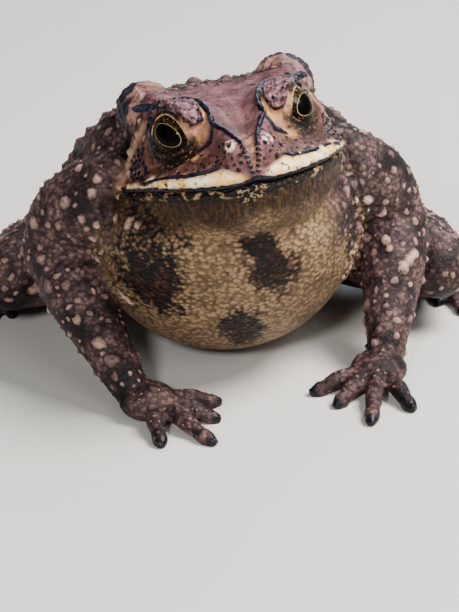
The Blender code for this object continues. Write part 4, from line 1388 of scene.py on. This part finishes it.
def skinMaterial():
    # Cast resin painted as toad skin under satin varnish: matt in the hollows, a soft shine on the warts
    material, tree, shader = freshMaterial("paintedToadSkinSatinVarnish")
    paint = Paint(tree)
    field, noise, cells, ramp, times, plus, mix = (
        paint.field, paint.noise, paint.cells, paint.ramp, paint.times, paint.plus, paint.mix
    )
    colour = {name: linear(value) for name, value in skinPaint["colours"].items()}
    broad, middling, fine = noise(9, 4), noise(2.6, 4), noise(0.7, 3)
    granules, grains = cells(0.85, paint.stretched((1.0, 1.0, 1.2))), cells(0.5)
    granuleTop = ramp(granules, 0.6, 0.25)

    body = mix(ramp(middling, 0.4, 0.72), colour["body"], colour["bodyLight"])
    body = mix(ramp(broad, 0.46, 0.62), body, colour["bodyDeep"])
    body = mix(times(ramp(granules, 0.3, 0.6), 0.7), body, colour["bodyDeep"])
    crown = mix(ramp(middling, 0.42, 0.68), colour["crown"], colour["crownLight"])
    crown = mix(times(ramp(noise(5, 4), 0.5, 0.66), 0.5), crown, colour["crownDeep"])
    crown = mix(times(ramp(fine, 0.5, 0.66), 0.35), crown, colour["crownDeep"])
    # the head's lower sides are darker, partly the skin's own tone and partly painted shade
    snout = mix(ramp(noise(1.7, 4), 0.45, 0.68), colour["snout"], colour["snoutLight"])
    snout = mix(times(ramp(fine, 0.5, 0.66), 0.7), snout, colour["crownDeep"])
    crown = mix(field("snout"), crown, snout)
    crown = mix(times(field("bridge"), ramp(noise(1.2, 3), 0.4, 0.6)), crown, colour["ochre"])
    base = mix(field("head"), body, crown)

    # belly, chest and throat: pale granules on brown, fewer in the dark patches, gold streaks below the lip
    # on a near-black ground that is partly painted shade under the jaw
    pale = plus(ramp(broad, 0.3, 0.62, 0.35, 1.1), times(ramp(middling, 0.35, 0.65), 0.25))
    patch = plus(field("patch"), ramp(noise(1.3, 3), 0.3, 0.7, -0.3, 0.3))
    patch = ramp(plus(patch, times(ramp(granules, 0.1, 0.7), 0.35)), 0.35, 0.9)
    pale = times(pale, ramp(granuleTop, 0.0, 1.0, 0.3, 1.0))
    under = mix(pale, colour["underBrown"], colour["underPale"])
    patchTone = mix(times(granuleTop, ramp(noise(2.2, 3), 0.42, 0.62)), colour["patch"], colour["patchLight"])
    under = mix(patch, under, patchTone)
    streak = noise(0.34, 3, 0.6, paint.stretched((1.0, 0.5, 0.14)))
    throat = mix(ramp(streak, 0.42, 0.66), colour["throat"], colour["throatStreak"])
    under = mix(times(field("throat"), ramp(patch, 0, 1, 1.0, 0.2)), under, throat)
    base = mix(field("under"), base, under)

    wart = field("wart")
    base = mix(times(times(ramp(wart, 0.02, 0.16), ramp(wart, 0.34, 0.2)), 0.6), base, colour["bodyDeep"])
    wartTone = mix(field("wartTone"), colour["wartDull"], colour["wart"])
    wartTone = mix(times(ramp(fine, 0.45, 0.65), 0.4), wartTone, colour["body"])
    uneven = plus(wart, ramp(noise(0.6, 3), 0.3, 0.7, -0.16, 0.16))
    base = mix(times(ramp(uneven, 0.25, 0.75), 0.88), base, wartTone)
    tip = times(ramp(wart, 0.92, 1.08), ramp(field("wartTone"), 0.7, 0.2))
    base = mix(times(tip, 0.7), base, colour["wartTip"])
    # painted shade on the outer front of the gland, down towards the eardrum
    base = mix(times(field("shade"), 0.85), base, colour["bodyDeep"])

    glandTone = mix(ramp(noise(2.2, 3), 0.42, 0.62), colour["gland"], colour["glandLight"])
    # painted shade: the gland's outer and back faces darken, the warts on them a little less than between
    # them
    dark = ramp(plus(field("glandShade"), ramp(noise(1.6, 3), 0.3, 0.7, -0.3, 0.3)), 0.3, 0.7)
    glandTone = mix(dark, glandTone, mix(ramp(wart, 0.3, 1.0), colour["glandShadeDeep"], colour["glandShade"]))
    base = mix(field("gland"), base, glandTone)
    base = mix(ramp(field("earGap"), 0.3, -0.3), base, colour["bodyDeep"])
    base = mix(times(field("stripe"), 0.8), base, colour["stripe"])

    padEdge = field("padEdge")
    ochre = mix(ramp(noise(1.4, 3), 0.56, 0.74), colour["ochre"], colour["ochreDeep"])
    ochre = mix(ramp(noise(2.4, 3), 0.52, 0.62), ochre, colour["ochreLight"])
    base = mix(field("ochre"), base, ochre)
    # upper lid between pad and eye: dark speckled skin, partly painted shade under the pad's overhang
    lidTone = mix(ramp(noise(0.5, 2), 0.58, 0.66), colour["lid"], colour["speck"])
    base = mix(field("upperLid"), base, lidTone)
    padTone = mix(ramp(noise(1.1, 3), 0.42, 0.62), colour["pad"], colour["padLight"])
    padTone = mix(ramp(noise(0.8, 2), 0.54, 0.62), padTone, colour["padPit"])
    base = mix(ramp(padEdge, -0.1, 0.1), base, padTone)
    rimDark = times(ramp(padEdge, -0.2, -0.05), ramp(padEdge, 0.26, 0.12))
    base = mix(times(rimDark, ramp(noise(0.9, 1), 0.42, 0.48)), base, colour["crest"])

    lipBand = field("lipBand")
    lipTone = mix(ramp(noise(3.6, 3), 0.44, 0.62), colour["lip"], colour["lipPale"])
    lipEdge = plus(lipBand, ramp(noise(1.4, 3), 0.3, 0.7, -0.25, 0.25))
    lipTone = mix(ramp(lipEdge, 0.6, 0.0), lipTone, colour["ochre"])
    lipTone = mix(ramp(noise(1.0, 2), 0.61, 0.68), lipTone, colour["lipBrown"])
    middle = times(field("lipMiddle"), ramp(noise(0.8, 2), 0.3, 0.5, 0.6, 1.0))
    lipTone = mix(middle, lipTone, colour["lipBrown"])
    base = mix(ramp(lipBand, -0.15, 0.1), base, lipTone)
    lowerTone = ramp(noise(2.6, 3, 0.55, paint.stretched((1.0, 1.0, 1.8))), 0.53, 0.59)
    lowerTone = mix(lowerTone, colour["throat"], colour["underLip"])
    base = mix(field("lowerLip"), base, lowerTone)
    base = mix(times(field("lowerEdge"), 0.85), base, colour["patch"])
    net = ramp(paint.maths("ABSOLUTE", plus(noise(1.1, 2), -0.5)), 0.03, 0.012)
    base = mix(ramp(field("chin"), 0.25, 0.5), base, mix(net, colour["patch"], colour["underLip"]))

    nostrilGap = field("nostrilGap")
    ring = times(ramp(nostrilGap, 1.15, 0.8), ramp(noise(0.9, 2), 0.44, 0.54))
    base = mix(times(ring, 0.9), base, colour["nostril"])
    # under the eye: dark speckled skin, also painted shade below the eyeball
    underEye = mix(ramp(noise(0.6, 2), 0.58, 0.64), colour["patch"], colour["speck"])
    base = mix(field("underEye"), base, underEye)

    crestGap, lipLine, bead = field("crestGap"), field("lipLine"), field("bead")
    horny = paint.most(ramp(crestGap, 0.12, -0.02), ramp(lipLine, 0.08, -0.05), ramp(bead, 0.14, 0.28))
    horny = paint.most(horny, field("toeTip"))
    # painted highlight: the tops of the crests, the beads and the lip's cord take the lighter horn colour
    highest = times(ramp(lipLine, -0.2, -0.4), 0.6)
    highest = paint.most(ramp(crestGap, -0.12, -0.32), ramp(bead, 0.7, 1.1), highest)
    hornyTone = mix(times(highest, ramp(noise(1.2, 2), 0.35, 0.65)), colour["crest"], colour["hornHighlight"])
    base = mix(horny, base, hornyTone)
    rimGap = field("rimGap")
    rim = times(ramp(rimGap, 0.0, 0.06), ramp(rimGap, 0.2, 0.12))
    rim = times(rim, ramp(field("underEye"), 0.3, 0.05))
    base = mix(times(rim, ramp(noise(0.8, 2), 0.4, 0.5, 0.2, 1.0)), base, colour["lidRim"])
    # painted shade: near black in the nostrils' pits and where the skin tucks in behind the eyeball
    hollow = paint.most(ramp(nostrilGap, 0.5, 0.32), ramp(rimGap, -0.1, -0.2))
    base = mix(hollow, base, colour["hollow"])
    tree.links.new(base, shader.inputs["Base Color"])

    rough = ramp(noise(1.1, 3), 0.3, 0.7, *skinPaint["roughness"])
    rough = ramp(horny, 0.0, 1.0, rough, skinPaint["hornRoughness"])
    tree.links.new(rough, shader.inputs["Roughness"])
    shader.inputs["Specular IOR Level"].default_value = skinPaint["specular"]

    # granules of the belly are rounder and deeper than the grain of the back; ridges and lips are smooth
    grain = times(plus(times(grains, -0.5), times(noise(0.35, 3), 0.6)), ramp(field("head"), 0, 1, 1.0, 0.6))
    domes = times(paint.maths("POWER", granules, 2.0), -2.2)
    height = ramp(field("under"), 0.0, 1.0, grain, domes)
    smoothParts = paint.most(horny, ramp(lipBand, -0.1, 0.1), ramp(rimGap, 1.0, 0.4))
    height = times(height, ramp(smoothParts, 0, 1, 1.0, 0.12))
    links = {"Height": height, "Strength": skinPaint["bump"], "Distance": skinPaint["bumpDepth"] * mm}
    bump = addNode(tree, "ShaderNodeBump", None, links)
    tree.links.new(bump.outputs[0], shader.inputs["Normal"])
    return material


glass = {
    "pupil": "#010101", "iris": "#060403", "fleck": "#66501f", "ring": "#b09a5c",
    "fleckSize": 0.26,  # millimetres
    "roughness": 0.5, "specular": 0.02,  # of the paint behind the glass
    "coatWeight": 0.3, "coatRoughness": 0.02, "coatIor": 1.22,
}


def eyeMaterial():
    # Glass eye painted behind: black pupil in a thin gold ring, dark iris with gold flecks, wet shine
    material, tree, shader = freshMaterial("polishedGlassEye")
    paint = Paint(tree)
    edge = paint.field("pupil")  # 1 at the pupil's edge, less inside
    flecks = paint.plus(paint.noise(glass["fleckSize"], 2), paint.times(paint.field("upper"), 0.06))
    iris = paint.mix(paint.ramp(flecks, 0.6, 0.7), linear(glass["iris"]), linear(glass["fleck"]))
    ring = paint.ramp(paint.maths("ABSOLUTE", paint.plus(edge, -1.015)), 0.026, 0.008)
    iris = paint.mix(ring, iris, linear(glass["ring"]))
    tone = paint.mix(paint.maths("LESS_THAN", edge, 1.0), iris, linear(glass["pupil"]))
    tree.links.new(tone, shader.inputs["Base Color"])
    shader.inputs["Roughness"].default_value = glass["roughness"]
    shader.inputs["Specular IOR Level"].default_value = glass["specular"]
    shader.inputs["Coat Weight"].default_value = glass["coatWeight"]
    shader.inputs["Coat Roughness"].default_value = glass["coatRoughness"]
    shader.inputs["Coat IOR"].default_value = glass["coatIor"]
    return material


def makeEye(side):
    # A ball whose front bulges a little as a cornea; its iris is measured from the gaze
    seat, gaze, snoutward, upward = eyeFrame(side)
    rows, columns = 64, 96
    polar = np.linspace(0, np.pi, rows + 1)[1:-1, None]
    turn = np.linspace(0, 2 * np.pi, columns, endpoint=False)[None, :]
    radius = eye["radius"] * (1 + eye["corneaBulge"] * bell(polar, 0.6))
    a, b = radius * np.sin(polar) * np.cos(turn), radius * np.sin(polar) * np.sin(turn)
    c = radius * np.cos(polar) + 0 * turn
    points = seat + a[..., None] * snoutward + b[..., None] * upward + c[..., None] * gaze
    ends = [seat + gaze * eye["radius"] * (1 + eye["corneaBulge"]), seat - gaze * eye["radius"]]
    points = np.vstack([points.reshape(-1, 3), ends])
    faces = gridFaces(rows - 1, columns).tolist()
    count = (rows - 1) * columns
    for k in range(columns):
        faces.append((count, k, (k + 1) % columns))
        faces.append((count + 1, count - columns + (k + 1) % columns, count - columns + k))
    mesh = bpy.data.meshes.new("eyeball_" + side)
    world = (fromHead(onSide(points, side)) + shift) * mm
    mesh.from_pydata(world.tolist(), [], [tuple(f) for f in faces])
    far, way, front, flat = eyePlace(points, side)
    t = math.radians(-pupil["tilt"])
    long = flat[:, 0] * math.cos(t) + flat[:, 1] * math.sin(t)
    short = flat[:, 1] * math.cos(t) - flat[:, 0] * math.sin(t)
    edge = np.sqrt((long / pupil["long"]) ** 2 + (short / pupil["short"]) ** 2)
    for name, values in (("pupil", edge), ("upper", smooth(0.0, 2.0, flat[:, 1]))):
        layer = mesh.attributes.new(name, "FLOAT", "POINT")
        layer.data.foreach_set("value", values.astype(np.float32))
    made = newObject("eyeball_" + side, mesh)
    body = bmesh.new()
    body.from_mesh(mesh)
    bmesh.ops.recalc_face_normals(body, faces=body.faces)
    body.to_mesh(mesh)
    body.free()
    mesh.shade_smooth()
    return made


camera = {
    # where the head's middle is seen from, and the pixel where it falls in the 459 x 612 picture
    "azimuth": -10.88, "elevation": 20.1, "roll": -1.69, "distance": 430.0,
    "pixel": (232.86, 119.9), "pixelsPerMm": 6.503, "frame": (459, 612), "sensor": 24.0,
}


def placeCamera():
    # Turns the camera so that the head's middle falls on its pixel, with no shift
    a, e, r = (math.radians(camera[k]) for k in ("azimuth", "elevation", "roll"))
    back = np.array((math.sin(a) * math.cos(e), -math.cos(a) * math.cos(e), math.sin(e)))
    right = np.array((math.cos(a), math.sin(a), 0.0))
    up = np.cross(back, right)
    rolled = -right * math.sin(r) + up * math.cos(r)
    place = headSeat + shift + back * camera["distance"]
    width, height = camera["frame"]
    focal = camera["pixelsPerMm"] * camera["distance"]
    x, y = camera["pixel"]
    ray = unit(np.array(((x - width / 2) / focal, (height / 2 - y) / focal, -1.0)))
    side = unit(np.cross(ray, (0.0, 1.0, 0.0)))
    inCamera = np.column_stack([ray, side, np.cross(ray, side)])
    sideWorld = unit(np.cross(-back, rolled))
    inWorld = np.column_stack([-back, sideWorld, np.cross(-back, sideWorld)])
    turn = inWorld @ inCamera.T
    data = bpy.data.cameras.new("camera")
    data.sensor_fit = "VERTICAL"
    data.sensor_height = camera["sensor"]
    data.lens = camera["sensor"] * focal / height
    data.clip_start = 0.01
    made = newObject("camera", data)
    made.matrix_world = Matrix.Translation(Vector(place * mm)) @ Matrix(turn.tolist()).to_4x4()
    bpy.context.scene.camera = made
    print("camera placed")


# Place and aim in metres, size in metres, power in watts, colour
lights = {
    "key": ((0.32, -0.12, 0.5), (0.0, -0.01, 0.03), 0.3, 9.5, (1.0, 0.96, 0.9)),
    "rim": ((0.25, 0.5, 0.4), (0.0, 0.0, 0.03), 0.3, 2.0, (0.85, 0.92, 1.0)),
    "spark": ((-0.22, -0.5, 0.32), (0.0, 0.0, 0.04), 0.09, 2.4, (1.0, 0.98, 0.95)),
    "front": ((0.2, -0.7, 0.5), (0.0, 0.0, 0.03), 0.4, 1.6, (1.0, 0.98, 0.96)),
}


room = {
    "floorHalf": 2.0,  # metres
    "floor": "#cfcdc8",
    "floorRoughness": 0.9,
    "surround": (0.8, 0.85, 0.95, 1),
    "surroundPower": 0.13,
}


def studio():
    # A flat square floor, a soft grey-blue surround and round lamps aimed at the toad
    mesh = bpy.data.meshes.new("floor")
    half = room["floorHalf"]
    corners = [(-half, -half, 0), (half, -half, 0), (half, half, 0), (-half, half, 0)]
    mesh.from_pydata(corners, [], [(0, 1, 2, 3)])
    floor = newObject("floor", mesh)
    material, tree, shader = freshMaterial("palePaperFloor")
    shader.inputs["Base Color"].default_value = linear(room["floor"])
    shader.inputs["Roughness"].default_value = room["floorRoughness"]
    mesh.materials.append(material)
    world = bpy.data.worlds.new("soft")
    world.use_nodes = True
    surround = world.node_tree.nodes["Background"]
    surround.inputs["Color"].default_value = room["surround"]
    surround.inputs["Strength"].default_value = room["surroundPower"]
    bpy.context.scene.world = world
    for name, (place, aim, size, power, colour) in lights.items():
        data = bpy.data.lights.new(name, "AREA")
        data.shape = "DISK"
        data.size = size
        data.energy = power
        data.color = colour
        lamp = newObject(name, data)
        lamp.location = place
        lamp.rotation_euler = (Vector(aim) - Vector(place)).to_track_quat("-Z", "Y").to_euler()


pile, digits = pileUp()
made, part = makeSkin(pile)
made = sculptSkin(made, part, [path for paths in digits.values() for path in paths])
made.data.materials.append(skinMaterial())
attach(made, "root")
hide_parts(*[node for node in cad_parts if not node.startswith("eye")])
glassEye = eyeMaterial()
for side in sides:
    ball = makeEye(side)
    ball.data.materials.append(glassEye)
    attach(ball, "root")
    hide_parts("eye_" + side)
placeCamera()
studio()
